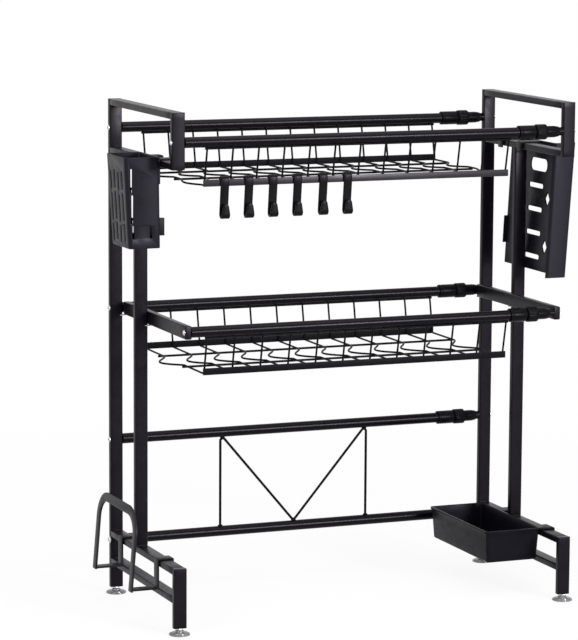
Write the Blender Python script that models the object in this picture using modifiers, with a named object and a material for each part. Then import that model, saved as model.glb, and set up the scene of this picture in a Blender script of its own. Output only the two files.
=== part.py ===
"""Over sink dish rack: two tube side frames, telescopic cross rails, wire baskets and hang-on holders.

Metres, +Z up, +X to the right, -Y to the front. The rack stands on four levelling feet.
"""

import bmesh
import bpy
from math import atan2, cos, pi, radians, sin, tan
from mathutils import Matrix, Vector

# Side frames: flat steel tube, its wide side across the rack
rack_width = 0.650
tube_width = 0.020
tube_depth = 0.010
tube_wall = 0.0012
tube_corner = 0.0018
cap_thickness = 0.0015
plug_length = 0.012
vent_radius = 0.0015
rack_height = 0.771
handle_height = 0.0835
handle_reach = 0.291
foot_reach = 0.300
foot_height = 0.090
foot_rail_drop = 0.043
front_upright_setback = 0.117
fit_gap = 0.0003
overrun = 0.004

# Telescopic rails, their grip collars and where they cross
rail_radius = 0.008
rail_wall = 0.0009
inner_rail_radius = 0.0064
inner_rail_length = 0.330
top_rail_drop = 0.044
shelf_height = 0.449
back_upper_height = 0.2435
back_lower_height = 0.085
sleeve_radius = 0.0105
sleeve_length = 0.026
neck_radius = 0.00875
neck_gap = 0.0025
neck_length = 0.013
nut_setback = 0.0065
nut_length = 0.039
nut_ring_length = 0.0175
nut_ring_radius = 0.01175
nut_ring_chamfer = 0.0015
nut_nose_radius = 0.0087
nut_tip_radius = 0.0074
nut_tip_length = 0.007

# Shelf arms, bolted to the inner faces of the uprights
arm_height = 0.020
arm_depth = 0.010
arm_setback = 0.0138

# Wire baskets, hung under the rails
wire_radius = 0.0015
long_wire_radius = 0.00175
weld_depth = 0.0006
basket_inset = 0.0358
basket_length = 0.485
basket_drop = 0.061
basket_taper = 0.008
strip_height = 0.010
strip_thickness = 0.003
strip_overhang = 0.003
wire_bend = 0.004
top_wires = 13
shelf_wires = 12
top_long_wires = (0.055, 0.152)
top_bow_spans = ((0.068, 0.143), (0.168, 0.262))
top_bow_depths = (0.0205, 0.0125)
shelf_long_wires = (0.081, 0.189)
shelf_bow_spans = ((0.100, 0.188),)
shelf_bow_depths = (0.0255,)
bow_skew_share = 1.45

# Brace wire between the two low rear rails
brace_radius = 0.002
brace_half_width = 0.1243
brace_centre = -0.0177
brace_bend = 0.004
brace_rounds = 3

# Hooks on the front strip of the top basket
hook_count = 6
hook_place_shares = (0.72, 0.66, 0.60, 0.56, 0.57, 0.54)
hook_width = 0.013
hook_thickness = 0.003
hook_lip = 0.014
hook_drop = 0.0527
hook_sweep = 0.005
hook_tip = 0.0157
hook_throat_radius = 0.0058

# Levelling feet
pad_radius = 0.017
pad_edge = 0.0026
pad_step_height = 0.0039
pad_crown_height = 0.0052
pad_height = 0.010
pad_hub_radius = 0.0065
pad_hub_height = 0.0072
pad_step_radius = 0.0125
stem_radius = 0.003
stem_length = 0.028

# What all the hang-on holders share: a plate over the rail and a lip behind it
hook_plate = 0.0025
hook_plate_lip = 0.014
hook_slack = 0.0015

# Utensil holder on the left handle
utensil_rear = 0.162
utensil_length = 0.084
utensil_base_length = 0.078
utensil_depth = 0.054
utensil_base_depth = 0.049
utensil_height = 0.1345
utensil_rise = 0.006
utensil_wall = 0.002
utensil_corner = 0.005
utensil_lean = radians(1.3)
utensil_pad = 0.003
utensil_pad_rise = 0.0045
utensil_pad_height = 0.039
utensil_arm = 0.016
utensil_arm_inset = 0.012
utensil_fin = 0.0085
utensil_fin_width = 0.006
utensil_fin_height = 0.026
utensil_fin_drop = 0.0845
slot_width = 0.0038
slot_lengths = (0.028, 0.041, 0.026)
slot_gap = 0.0045
slot_columns = 4
slot_pitch = 0.0165
slot_stagger = 0.003
slot_top_margin = 0.0205
side_slot_lengths = (0.036, 0.0425, 0.020)
side_slot_gap = 0.0025
side_slot_margin = 0.0165
side_slot_shares = (0.17, 0.80)
drain_radius = 0.003
drain_pitch = 0.018

# Board and knife holder on the right handle
board_rear = 0.046
board_length = 0.154
board_depth = 0.0375
board_base_depth = 0.0345
board_rear_depth = 0.026
board_height = 0.2025
board_rise = 0.003
board_wall = 0.0025
board_lean = radians(3.0)
board_standoff = 0.0112
board_channel_drop = 0.008
board_channel = 0.020
board_rear_return = 0.006
board_corner = 0.004
board_floor = 0.0025
board_arm = 0.014
board_arm_places = (0.078, 0.145)
board_fin = 0.006
board_fin_width = 0.006
board_fin_height = 0.043
board_fin_drop = 0.1245
window_width = 0.058
window_height = 0.020
window_drop = 0.0345
window_y = 0.150
window_corner = 0.005
board_slot_width = 0.050
board_slot_height = 0.0075
board_slot_y = 0.144
board_slot_first = 0.0675
board_slot_pitch = 0.037
board_slot_count = 4
board_slot_corner = 0.0015
diamond_width = 0.017
diamond_height = 0.025
diamond_y = 0.1855
diamond_drops = (0.0855, 0.160)

# Sink tray on the right foot
tray_rear = 0.028
tray_length = 0.2086
tray_width = 0.0913
tray_depth = 0.050
tray_taper = 0.006
tray_wall = 0.002
tray_corner = 0.0045
tray_rim = 0.0022
tray_rim_height = 0.004
tray_rim_lap_share = 1.4
tray_tab_width = 0.025
tray_tab = 0.003
tray_tab_lip = 0.010
tray_tab_places = (0.0875, 0.2275)

# Pan lid holder on the left foot, bent from flat strip
lid_sheet = 0.0028
lid_strip = 0.0165
lid_reach = 0.043
lid_ledge_drop = 0.0425
lid_front = 0.235
lid_rear = 0.054
lid_rise = 0.0785
lid_corner = 0.042
lid_band = 0.0135
lid_lean = radians(4.7)
lid_hook_lip = 0.008

# How finely round forms are cut
round_steps = 12
bore_steps = 12
drain_steps = 8
wire_roundness = 1
bend_points = 2
wire_bend_points = 1
hook_points = 4
bow_points = 5
arch_points = 6

# A round bore's flats, not its corners, have to clear the round piece inside
bore_share = 1 / cos(pi / round_steps)
# A face whose normal is this near the vertical counts as level
level_share = 0.9

half_width = rack_width / 2
inner_face = half_width - tube_width
frame_base = pad_height
foot_top = frame_base + foot_height
handle_base = rack_height - handle_height
handle_rail_top = handle_base + tube_depth
rear_rail_y = -tube_depth / 2
front_rail_y = -(handle_reach - tube_depth / 2)
foot_post_y = -(foot_reach - tube_depth / 2)
top_rail_height = rack_height - top_rail_drop
arm_face = inner_face - fit_gap - arm_depth


def clear_scene():
    for obj in list(bpy.data.objects):
        bpy.data.objects.remove(obj, do_unlink=True)


def new_collection(name):
    collection = bpy.data.collections.new(name)
    bpy.context.scene.collection.children.link(collection)
    return collection


def new_empty(name, location, parent):
    empty = bpy.data.objects.new(name, None)
    rack_parts.objects.link(empty)
    empty.parent = parent
    empty.location = location
    return empty


clear_scene()
rack_parts = new_collection("over_sink_dish_rack")
guides = new_collection("cutters_and_guides")
rack_root = new_empty("rack_root", (0, 0, 0), None)
left_side = new_empty("left_side", (-half_width, 0, 0), rack_root)
right_side = new_empty("right_side", (half_width, 0, 0), rack_root)


def make_material(name, colour, roughness, metallic):
    material = bpy.data.materials.new(name)
    material.use_nodes = True
    shader = material.node_tree.nodes["Principled BSDF"]
    shader.inputs["Base Color"].default_value = (*colour, 1)
    shader.inputs["Roughness"].default_value = roughness
    shader.inputs["Metallic"].default_value = metallic
    material.diffuse_color = (*colour, 1)
    return material


frame_coat = make_material("frame_coat", (0.030, 0.030, 0.034), 0.42, 0.3)
rail_coat = make_material("rail_coat", (0.018, 0.018, 0.020), 0.30, 0.3)
wire_coat = make_material("wire_coat", (0.016, 0.016, 0.018), 0.36, 0.3)
collar_plastic = make_material("collar_plastic", (0.010, 0.010, 0.011), 0.45, 0.0)
hook_plastic = make_material("hook_plastic", (0.012, 0.012, 0.013), 0.35, 0.0)
holder_plastic = make_material("holder_plastic", (0.022, 0.023, 0.027), 0.50, 0.0)
tray_plastic = make_material("tray_plastic", (0.018, 0.020, 0.023), 0.52, 0.0)
lid_coat = make_material("lid_coat", (0.045, 0.045, 0.048), 0.40, 0.3)
foot_plastic = make_material("foot_plastic", (0.62, 0.63, 0.66), 0.25, 0.0)


def new_object(name, mesh, collection):
    obj = bpy.data.objects.new(name, mesh)
    collection.objects.link(obj)
    return obj


def finish(obj, material, parent):
    """Gives a piece its material, smooth round faces and the side that carries it."""
    obj.data.materials.clear()
    obj.data.materials.append(material)
    obj.data.shade_smooth()
    obj.data.set_sharp_from_angle(angle=radians(35))
    obj.parent = parent
    return obj


def place(obj, parent, x, y, z, turn=(0, 0, 0)):
    """Puts a piece at a spot given in the rack's frame, whatever carries it."""
    obj.location = Vector((x, y, z)) - parent.location
    obj.rotation_euler = turn


def mesh_from_curve(curve_obj, name):
    """The curve as a closed mesh object in the same place, with its caps welded on."""
    bpy.context.view_layer.update()
    graph = bpy.context.evaluated_depsgraph_get()
    mesh = bpy.data.meshes.new_from_object(curve_obj.evaluated_get(graph))
    work = bmesh.new()
    work.from_mesh(mesh)
    bmesh.ops.remove_doubles(work, verts=work.verts, dist=fit_gap / 100)
    bmesh.ops.recalc_face_normals(work, faces=work.faces)
    work.to_mesh(mesh)
    work.free()
    matrix = curve_obj.matrix_world.copy()
    bpy.data.objects.remove(curve_obj, do_unlink=True)
    obj = new_object(name, mesh, rack_parts)
    obj.matrix_world = matrix
    return obj


def plate(name, outlines, thickness):
    """Closed outlines in the local XY plane, filled and thickened evenly about it."""
    curve = bpy.data.curves.new(name, "CURVE")
    curve.dimensions = "2D"
    curve.fill_mode = "BOTH"
    curve.extrude = thickness / 2
    for outline in outlines:
        spline = curve.splines.new("POLY")
        spline.points.add(len(outline) - 1)
        for point, (x, y) in zip(spline.points, outline):
            point.co = (x, y, 0, 1)
        spline.use_cyclic_u = True
    return mesh_from_curve(new_object(name, curve, rack_parts), name)


def wires(name, paths, radius, roundness):
    """Round wires along open paths, all in one mesh."""
    curve = bpy.data.curves.new(name, "CURVE")
    curve.dimensions = "3D"
    curve.bevel_depth = radius
    curve.bevel_resolution = roundness
    curve.use_fill_caps = True
    for path in paths:
        spline = curve.splines.new("POLY")
        spline.points.add(len(path) - 1)
        for point, spot in zip(spline.points, path):
            point.co = (*spot, 1)
    return mesh_from_curve(new_object(name, curve, rack_parts), name)


def blocks(name, boxes):
    """Boxes given by their lowest and highest corners, all in one mesh."""
    work = bmesh.new()
    for low, high in boxes:
        low, high = Vector(low), Vector(high)
        size = high - low
        matrix = Matrix.Translation((low + high) / 2) @ Matrix.Diagonal((*size, 1))
        bmesh.ops.create_cube(work, size=1, matrix=matrix)
    mesh = bpy.data.meshes.new(name)
    work.to_mesh(mesh)
    work.free()
    return new_object(name, mesh, rack_parts)


def rods(name, spots, radius, length, steps):
    """Upright cylinders centred on the spots, all in one mesh."""
    work = bmesh.new()
    for spot in spots:
        bmesh.ops.create_cone(
            work, cap_ends=True, segments=steps, radius1=radius, radius2=radius,
            depth=length, matrix=Matrix.Translation(spot),
        )
    mesh = bpy.data.meshes.new(name)
    work.to_mesh(mesh)
    work.free()
    return new_object(name, mesh, rack_parts)


def turned(name, profile, closed, steps):
    """A profile of radius and height pairs turned about the local Z axis."""
    work = bmesh.new()
    spots = [work.verts.new((radius, 0, height)) for radius, height in profile]
    for first, second in zip(spots, spots[1:] + spots[:1] if closed else spots[1:]):
        work.edges.new((first, second))
    mesh = bpy.data.meshes.new(name)
    work.to_mesh(mesh)
    work.free()
    obj = new_object(name, mesh, rack_parts)
    screw = obj.modifiers.new("turn", "SCREW")
    screw.steps = steps
    screw.render_steps = steps
    screw.use_merge_vertices = True
    screw.merge_threshold = fit_gap / 100
    screw.use_smooth_shade = True
    return obj


def join(obj, other, operation):
    """Adds another solid to a piece, or takes it away, and keeps it as a guide."""
    other.parent = obj.parent
    other.hide_render = True
    other.display_type = "WIRE"
    rack_parts.objects.unlink(other)
    guides.objects.link(other)
    modifier = obj.modifiers.new(operation.lower(), "BOOLEAN")
    modifier.operation = operation
    modifier.solver = "EXACT"
    modifier.object = other


def rounded_outline(width, height, radius, points):
    """A rectangle about zero with its corners rounded."""
    outline = []
    corners = ((1, 1), (-1, 1), (-1, -1), (1, -1))
    for quarter, (sx, sy) in enumerate(corners):
        cx = sx * (width / 2 - radius)
        cy = sy * (height / 2 - radius)
        for step in range(points + 1):
            angle = pi / 2 * (quarter + step / points)
            outline.append((cx + radius * cos(angle), cy + radius * sin(angle)))
    return outline


def rectangle(width, height):
    return [(sx * width / 2, sy * height / 2) for sx, sy in ((-1, -1), (1, -1), (1, 1), (-1, 1))]


def bent(path, radius, points):
    """The path with each inner corner replaced by an arc."""
    path = [Vector(spot) for spot in path]
    out = [path[0]]
    for before, corner, after in zip(path, path[1:], path[2:]):
        back = (before - corner).normalized()
        ahead = (after - corner).normalized()
        half = back.angle(ahead) / 2
        reach = radius / tan(half)
        centre = corner + (back + ahead).normalized() * (radius / sin(half))
        first = corner + back * reach - centre
        last = corner + ahead * reach - centre
        sweep = pi - 2 * half
        for step in range(points + 1):
            angle = sweep * step / points
            out.append(centre + (first * sin(sweep - angle) + last * sin(angle)) / sin(sweep))
    out.append(path[-1])
    return out


def ribbon(path, thickness):
    # The outline of a strip of even thickness along a flat path
    path = [Vector((spot[0], spot[1])) for spot in path]
    runs = [(after - before).normalized() for before, after in zip(path, path[1:])]
    upper = []
    lower = []
    for spot, before, after in zip(path, runs[:1] + runs, runs + runs[-1:]):
        along = (before + after).normalized()
        across = Vector((-along.y, along.x))
        reach = across * (thickness / 2 / along.dot(before))
        upper.append(tuple(spot + reach))
        lower.append(tuple(spot - reach))
    return upper + lower[::-1]


to_side_view = Matrix(((0, 0, 1, 0), (1, 0, 0, 0), (0, 1, 0, 0), (0, 0, 0, 1)))
to_front_view = Matrix(((1, 0, 0, 0), (0, 0, -1, 0), (0, 1, 0, 0), (0, 0, 0, 1)))


# Frame tubes: rails stay open where they butt on a post, posts are capped
def frame_rail(name, side, length, x, y, z, turn):
    outer = rounded_outline(tube_width, tube_depth, tube_corner, bend_points)
    inner = rectangle(tube_width - 2 * tube_wall, tube_depth - 2 * tube_wall)
    rail = plate(name, [outer, inner], length)
    finish(rail, frame_coat, side)
    place(rail, side, x, y, z, turn)


def frame_post(name, side, base, top, x, y, base_cap, bore):
    """An upright tube with a closed top and a bored plug or a vented cap below."""
    outer = rounded_outline(tube_width, tube_depth, tube_corner, bend_points)
    post = plate(name, [outer], top - base)
    finish(post, frame_coat, side)
    middle = (base + top) / 2
    place(post, side, x, y, middle)
    half = (top - base) / 2
    room = Vector((tube_width / 2 - tube_wall, tube_depth / 2 - tube_wall, half - cap_thickness))
    hollow = blocks(name + "_hollow", [((-room.x, -room.y, base_cap - half), room)])
    place(hollow, side, x, y, middle)
    join(post, hollow, "DIFFERENCE")
    length = base_cap + 2 * overrun
    hole = rods(name + "_bore", [(0, 0, base_cap / 2 - half)], bore, length, bore_steps)
    place(hole, side, x, y, middle)
    join(post, hole, "DIFFERENCE")


def shelf_arm(prefix, side, sign):
    x = sign * (arm_face + arm_depth / 2)
    outline = rounded_outline(arm_depth, arm_height, tube_corner, bend_points)
    length = handle_reach - arm_setback
    y = -arm_setback - length / 2
    arm = plate(prefix, [outline], length)
    finish(arm, frame_coat, side)
    place(arm, side, x, y, shelf_height, (pi / 2, 0, 0))
    room = Vector((arm_depth / 2 - tube_wall, arm_height / 2 - tube_wall, length / 2 - cap_thickness))
    hollow = blocks(prefix + "_hollow", [(-room, room)])
    place(hollow, side, x, y, shelf_height, (pi / 2, 0, 0))
    join(arm, hollow, "DIFFERENCE")
    vent = rods(prefix + "_vent", [(0, 0, length / 2)], vent_radius, 2 * overrun, drain_steps)
    place(vent, side, x, y, shelf_height, (-pi / 2, 0, 0))
    join(arm, vent, "DIFFERENCE")


def side_frame(prefix, side, sign):
    x = sign * (half_width - tube_width / 2)
    bore = stem_radius + fit_gap
    posts = (
        ("_rear_upright", frame_base, rack_height, rear_rail_y, plug_length, bore),
        ("_handle_post", handle_base, rack_height, front_rail_y, cap_thickness, vent_radius),
        ("_foot_post", frame_base, foot_top, foot_post_y, plug_length, bore),
    )
    for name, base, top, y, base_cap, hole in posts:
        frame_post(prefix + name, side, base, top, x, y, base_cap, hole)
    between = (
        ("_handle_top_rail", rack_height, front_rail_y),
        ("_handle_low_rail", handle_rail_top, front_rail_y),
        ("_foot_top_rail", foot_top, foot_post_y),
        ("_foot_low_rail", foot_top - foot_rail_drop, foot_post_y),
    )
    for name, top, front in between:
        length = rear_rail_y - front - tube_depth - 2 * fit_gap
        middle = (rear_rail_y + front) / 2
        frame_rail(prefix + name, side, length, x, middle, top - tube_depth / 2, (pi / 2, 0, 0))
    low = foot_top + fit_gap
    high = handle_base - fit_gap
    setback = -(front_upright_setback + tube_depth / 2)
    frame_rail(prefix + "_front_upright", side, high - low, x, setback, (low + high) / 2, (0, 0, 0))
    shelf_arm(prefix + "_shelf_arm", side, sign)


side_frame("left", left_side, -1)
side_frame("right", right_side, 1)


# Telescopic rails: an outer tube with its sleeve, a grip nut and the tube that slides
def telescopic_rail(name, reach, y, z):
    across = (0, pi / 2, 0)
    left = -reach + fit_gap
    right = reach - fit_gap
    nut_left = reach - nut_setback - nut_length
    sleeve_right = nut_left - neck_gap - left
    sleeve_left = sleeve_right - sleeve_length
    tube_end = nut_left + neck_length - left
    bore = rail_radius - rail_wall
    profile = [
        (neck_radius, tube_end),
        (neck_radius, sleeve_right),
        (sleeve_radius, sleeve_right),
        (sleeve_radius, sleeve_left),
        (rail_radius, sleeve_left),
        (rail_radius, 0),
        (bore, 0),
        (bore, tube_end),
    ]
    tube = turned(name + "_outer_tube", profile, True, round_steps)
    finish(tube, rail_coat, left_side)
    place(tube, left_side, left, y, z, across)

    neck_bore = (neck_radius + fit_gap) * bore_share
    neck_room = neck_length + fit_gap
    slide_bore = inner_rail_radius + fit_gap
    profile = [
        (nut_tip_radius, nut_length),
        (nut_nose_radius, nut_length - nut_tip_length),
        (nut_nose_radius, nut_ring_length),
        (nut_ring_radius - nut_ring_chamfer, nut_ring_length),
        (nut_ring_radius, nut_ring_length - nut_ring_chamfer),
        (nut_ring_radius, nut_ring_chamfer),
        (nut_ring_radius - nut_ring_chamfer, 0),
        (neck_bore, 0),
        (neck_bore, neck_room),
        (slide_bore, neck_room),
        (slide_bore, nut_length),
    ]
    nut = turned(name + "_grip_nut", profile, True, round_steps)
    finish(nut, collar_plastic, left_side)
    place(nut, left_side, nut_left, y, z, across)

    hollow = inner_rail_radius - rail_wall
    profile = [
        (inner_rail_radius, inner_rail_length),
        (inner_rail_radius, 0),
        (hollow, 0),
        (hollow, inner_rail_length),
    ]
    inner = turned(name + "_inner_tube", profile, True, round_steps)
    finish(inner, rail_coat, right_side)
    place(inner, right_side, right - inner_rail_length, y, z, across)


telescopic_rail("top_rear", inner_face, rear_rail_y, top_rail_height)
telescopic_rail("top_front", inner_face, front_rail_y, top_rail_height)
telescopic_rail("shelf_rear", inner_face, rear_rail_y, shelf_height)
telescopic_rail("shelf_front", arm_face, front_rail_y, shelf_height)
telescopic_rail("back_upper", inner_face, rear_rail_y, back_upper_height)
telescopic_rail("back_lower", inner_face, rear_rail_y, back_lower_height)


# Wire baskets: a grille at the back and front and a floor of bowed cross wires
def bowed_path(left, rear, front, floor, seam, bows, spans):
    """One floor wire from the rear seam to the front one, with its bows to the left."""
    corners = [(left, rear, seam), (left, rear, floor), (left, front, floor), (left, front, seam)]
    path = bent(corners, wire_bend, wire_bend_points)
    swept = []
    for depth, (first, last) in zip(bows, spans):
        for step in range(bow_points + 1):
            share = step / bow_points
            swing = sin(pi * share ** bow_skew_share)
            swept.append(Vector((left - depth * swing, first + (last - first) * share, floor)))
    half = len(path) // 2
    return path[:half] + swept + path[half:]


def side_grille(name, across, ends, rail_y, inward, hang, strip_top, seam):
    strip_y = rail_y + inward * basket_taper
    wire_y = strip_y + inward * (strip_thickness / 2 + wire_radius - weld_depth)
    paths = [[(x, rail_y, hang), (x, wire_y, strip_top), (x, wire_y, seam)] for x in across]
    grille = wires(name + "_grille", paths, wire_radius, wire_roundness)
    finish(grille, wire_coat, left_side)
    place(grille, left_side, 0, 0, 0)
    runs = [[(end, rail_y, hang) for end in ends]]
    long_wire = wires(name + "_long_wire", runs, long_wire_radius, wire_roundness)
    place(long_wire, left_side, 0, 0, 0)
    join(grille, long_wire, "UNION")
    low = ends[0], strip_y - strip_thickness / 2, strip_top - strip_height
    strip = blocks(name + "_strip", [(low, (ends[1], strip_y + strip_thickness / 2, strip_top))])
    place(strip, left_side, 0, 0, 0)
    join(grille, strip, "UNION")


def basket(name, rail_height, count, long_depths, bow_spans, bow_depths):
    left = -inner_face + basket_inset
    pitch = basket_length / (count - 1)
    across = [left + index * pitch for index in range(count)]
    ends = left - strip_overhang, left + basket_length + strip_overhang
    hang = rail_height - rail_radius - fit_gap - long_wire_radius
    strip_top = rail_height - basket_drop + strip_height / 2
    floor = strip_top - strip_height + wire_radius
    seam = floor + wire_bend + fit_gap
    side_grille(name + "_back", across, ends, rear_rail_y, -1, hang, strip_top, seam + fit_gap)
    side_grille(name + "_front", across, ends, front_rail_y, 1, hang, strip_top, seam + fit_gap)

    into = basket_taper + strip_thickness / 2 + wire_radius + fit_gap
    rear = rear_rail_y - into
    front = front_rail_y + into
    places = [-depth for depth in long_depths]
    spans = [(-first, -last) for first, last in bow_spans]
    paths = [bowed_path(x, rear, front, floor, seam, bow_depths, spans) for x in across]
    grille = wires(name + "_floor_grille", paths, wire_radius, wire_roundness)
    finish(grille, wire_coat, left_side)
    place(grille, left_side, 0, 0, 0)
    below = floor - wire_radius - long_wire_radius + weld_depth
    runs = [[(end, y, below) for end in ends] for y in places]
    long_wires = wires(name + "_floor_long_wires", runs, long_wire_radius, wire_roundness)
    place(long_wires, left_side, 0, 0, 0)
    join(grille, long_wires, "UNION")
    return across, strip_top


top_across, top_strip_top = basket(
    "top_basket", top_rail_height, top_wires, top_long_wires, top_bow_spans, top_bow_depths,
)
basket("shelf_basket", shelf_height, shelf_wires, shelf_long_wires, shelf_bow_spans, shelf_bow_depths)


# Brace wire, bent twice at the top and once at the foot
def brace():
    left = brace_centre - brace_half_width
    right = brace_centre + brace_half_width
    crest = back_upper_height - rail_radius - fit_gap - brace_radius
    base = back_lower_height + rail_radius + fit_gap
    y = rear_rail_y
    top = crest
    low = base + brace_radius
    # The corners move out until their bends just reach the rails
    for _ in range(brace_rounds):
        lean = atan2(brace_half_width, top - low)
        top = crest + brace_bend * (1 / tan(lean / 2) - 1)
        low = base + brace_radius - brace_bend * (1 / sin(lean) - 1)
    corners = (left, base), (left, top), (brace_centre, low), (right, top), (right, base)
    path = bent([(x, y, z) for x, z in corners], brace_bend, 2 * bend_points)
    wire = wires("brace_wire", [path], brace_radius, 2 * wire_roundness)
    finish(wire, wire_coat, left_side)
    place(wire, left_side, 0, 0, 0)


brace()


# Hooks, bent from flat strip, hung over the front strip of the top basket
def utensil_hook(index):
    rest = strip_thickness / 2 + fit_gap + hook_thickness / 2
    throat = hook_throat_radius
    fold = hook_points
    path = [(rest, -hook_lip)]
    for step in range(fold + 1):
        angle = pi * step / fold
        path.append((rest * cos(angle), rest * sin(angle)))
    path.append((-rest, -strip_height))
    heel = -rest + hook_sweep - throat
    for step in range(fold + 1):
        angle = pi * step / fold
        path.append((heel + throat * cos(angle), -hook_drop - throat * sin(angle)))
    path.append((heel - throat, -hook_drop + hook_tip))
    hook = plate(f"hook_{index + 1}", [ribbon(path, hook_thickness)], hook_width)
    hook.data.transform(to_side_view)
    finish(hook, hook_plastic, left_side)
    pitch = top_across[1] - top_across[0]
    x = top_across[index] + pitch * hook_place_shares[index]
    place(hook, left_side, x, front_rail_y + basket_taper, top_strip_top)


for index in range(hook_count):
    utensil_hook(index)


# Levelling feet: a domed pad on a stem that runs up the plug of its post
def foot(name, side, x, y):
    profile = [
        (0, stem_length),
        (stem_radius, stem_length),
        (stem_radius, pad_hub_height),
        (pad_hub_radius, pad_hub_height),
        (pad_hub_radius, pad_crown_height),
        (pad_step_radius, pad_step_height),
        (pad_radius, pad_edge),
        (pad_radius, 0),
        (0, 0),
    ]
    pad = turned(name, profile, False, bore_steps)
    finish(pad, foot_plastic, side)
    place(pad, side, x, y, 0)


foot_x = half_width - tube_width / 2
foot("left_rear_foot", left_side, -foot_x, rear_rail_y)
foot("left_front_foot", left_side, -foot_x, foot_post_y)
foot("right_rear_foot", right_side, foot_x, rear_rail_y)
foot("right_front_foot", right_side, foot_x, foot_post_y)


# Moulded holders: thin walls that narrow downwards, hung over a rail by plates
def open_box(name, top, base, height, corner, wall):
    """A thin-walled box with its mouth at z zero."""
    work = bmesh.new()
    bmesh.ops.create_cube(work, size=1)
    for vert in work.verts:
        size = top if vert.co.z > 0 else base
        vert.co = Vector((vert.co.x * size[0], vert.co.y * size[1], (vert.co.z - 0.5) * height))
    upright = [edge for edge in work.edges if abs(edge.verts[0].co.z - edge.verts[1].co.z) > height / 2]
    bmesh.ops.bevel(work, geom=upright, offset=corner, segments=bend_points, affect="EDGES", profile=0.5)
    work.normal_update()
    floor = [face for face in work.faces if face.normal.z < -level_share]
    edges = [edge for face in floor for edge in face.edges]
    bmesh.ops.bevel(work, geom=edges, offset=wall, segments=1, affect="EDGES", profile=0.5)
    work.normal_update()
    mouth = [face for face in work.faces if face.normal.z > level_share]
    bmesh.ops.delete(work, geom=mouth, context="FACES_ONLY")
    mesh = bpy.data.meshes.new(name)
    work.to_mesh(mesh)
    work.free()
    obj = new_object(name, mesh, rack_parts)
    shell = obj.modifiers.new("wall", "SOLIDIFY")
    shell.thickness = wall
    shell.offset = -1
    shell.use_even_offset = True
    return obj


def slant(obj, slope):
    """Slides each level of a mesh along x in step with its depth."""
    for vert in obj.data.vertices:
        vert.co.x -= vert.co.z * slope


def rail_hooks(name, start, spots, width, mirror):
    """Plates from a holder's wall over the rail, each turned down behind it."""
    far = tube_width + hook_slack + hook_plate / 2
    level = fit_gap + hook_plate / 2
    outline = ribbon([(-start, level), (far, level), (far, level - hook_plate_lip)], hook_plate)
    hooks = []
    for index, y in enumerate(spots):
        hook = plate(f"{name}_{index + 1}", [[(mirror * x, z) for x, z in outline]], width)
        hook.data.transform(Matrix.Translation((0, y, 0)) @ to_front_view)
        hooks.append(hook)
    return hooks


def utensil_holder():
    back = -(fit_gap + utensil_pad)
    outer = back - utensil_depth
    rim = utensil_rise
    slope = tan(utensil_lean)
    narrowing = (utensil_depth - utensil_base_depth) / utensil_height
    top = utensil_depth, utensil_length
    base = utensil_base_depth, utensil_base_length
    box = open_box("utensil_holder", top, base, utensil_height, utensil_corner, utensil_wall)
    slant(box, slope + narrowing / 2)
    box.data.transform(Matrix.Translation((back - utensil_depth / 2, 0, rim)))
    finish(box, holder_plastic, left_side)
    spot = -half_width, -(utensil_rear + utensil_length / 2), handle_rail_top
    place(box, left_side, *spot)

    half = slot_width / 2
    cuts = []
    for column in range(slot_columns):
        y = (column - (slot_columns - 1) / 2) * slot_pitch
        high = rim - slot_top_margin - (column % 2) * slot_stagger
        for length in slot_lengths:
            x = outer + (rim - high) * (slope + narrowing)
            cuts.append(((x - overrun, y - half, high - length), (x + 2 * overrun, y + half, high)))
            high -= length + slot_gap
    slots = blocks("utensil_slots", cuts)
    cuts = []
    shares = list(side_slot_shares)
    for wall in (-1, 1):
        full, low = shares[::-wall]
        near, far = sorted((wall * (utensil_length / 2 - 2 * overrun), wall * (utensil_length / 2 + overrun)))
        high = rim - side_slot_margin
        for index, length in enumerate(side_slot_lengths):
            for share in [full, low] if index == len(side_slot_lengths) - 1 else [full]:
                x = outer + share * utensil_depth + (rim - high) * (slope + narrowing * (1 - share))
                cuts.append(((x - half, near, high - length), (x + half, far, high)))
            high -= length + side_slot_gap
    side_slots = blocks("utensil_side_slots", cuts)
    middle = back - utensil_depth / 2 + utensil_height * slope
    floor = rim - utensil_height
    spots = [(middle + i * drain_pitch / 2, j * drain_pitch, floor) for i in (-1, 1) for j in (-1, 0, 1)]
    drains = rods("utensil_drains", spots, drain_radius, 2 * overrun, drain_steps)
    for cutter in (slots, side_slots, drains):
        place(cutter, left_side, *spot)
        join(box, cutter, "DIFFERENCE")

    side = utensil_length / 2 - utensil_corner
    low = back - utensil_wall / 4, -side, utensil_pad_rise - utensil_pad_height
    pad = blocks("utensil_pad", [(low, (-fit_gap, side, utensil_pad_rise))])
    places = -side + utensil_arm_inset, side - utensil_arm_inset
    hooks = rail_hooks("utensil_rail_hook", fit_gap + utensil_pad / 2, places, utensil_arm, 1)
    high = -utensil_fin_drop
    face = back + (rim - high) * slope
    side = utensil_base_length / 2 - utensil_corner
    corners = []
    for y in (-side, side - utensil_fin_width):
        low = face - utensil_wall / 2, y, high - utensil_fin_height
        corners.append((low, (face + utensil_fin, y + utensil_fin_width, high)))
    fins = blocks("utensil_fins", corners)
    for solid in [pad, fins, *hooks]:
        place(solid, left_side, *spot)
        join(box, solid, "UNION")


utensil_holder()


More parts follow.
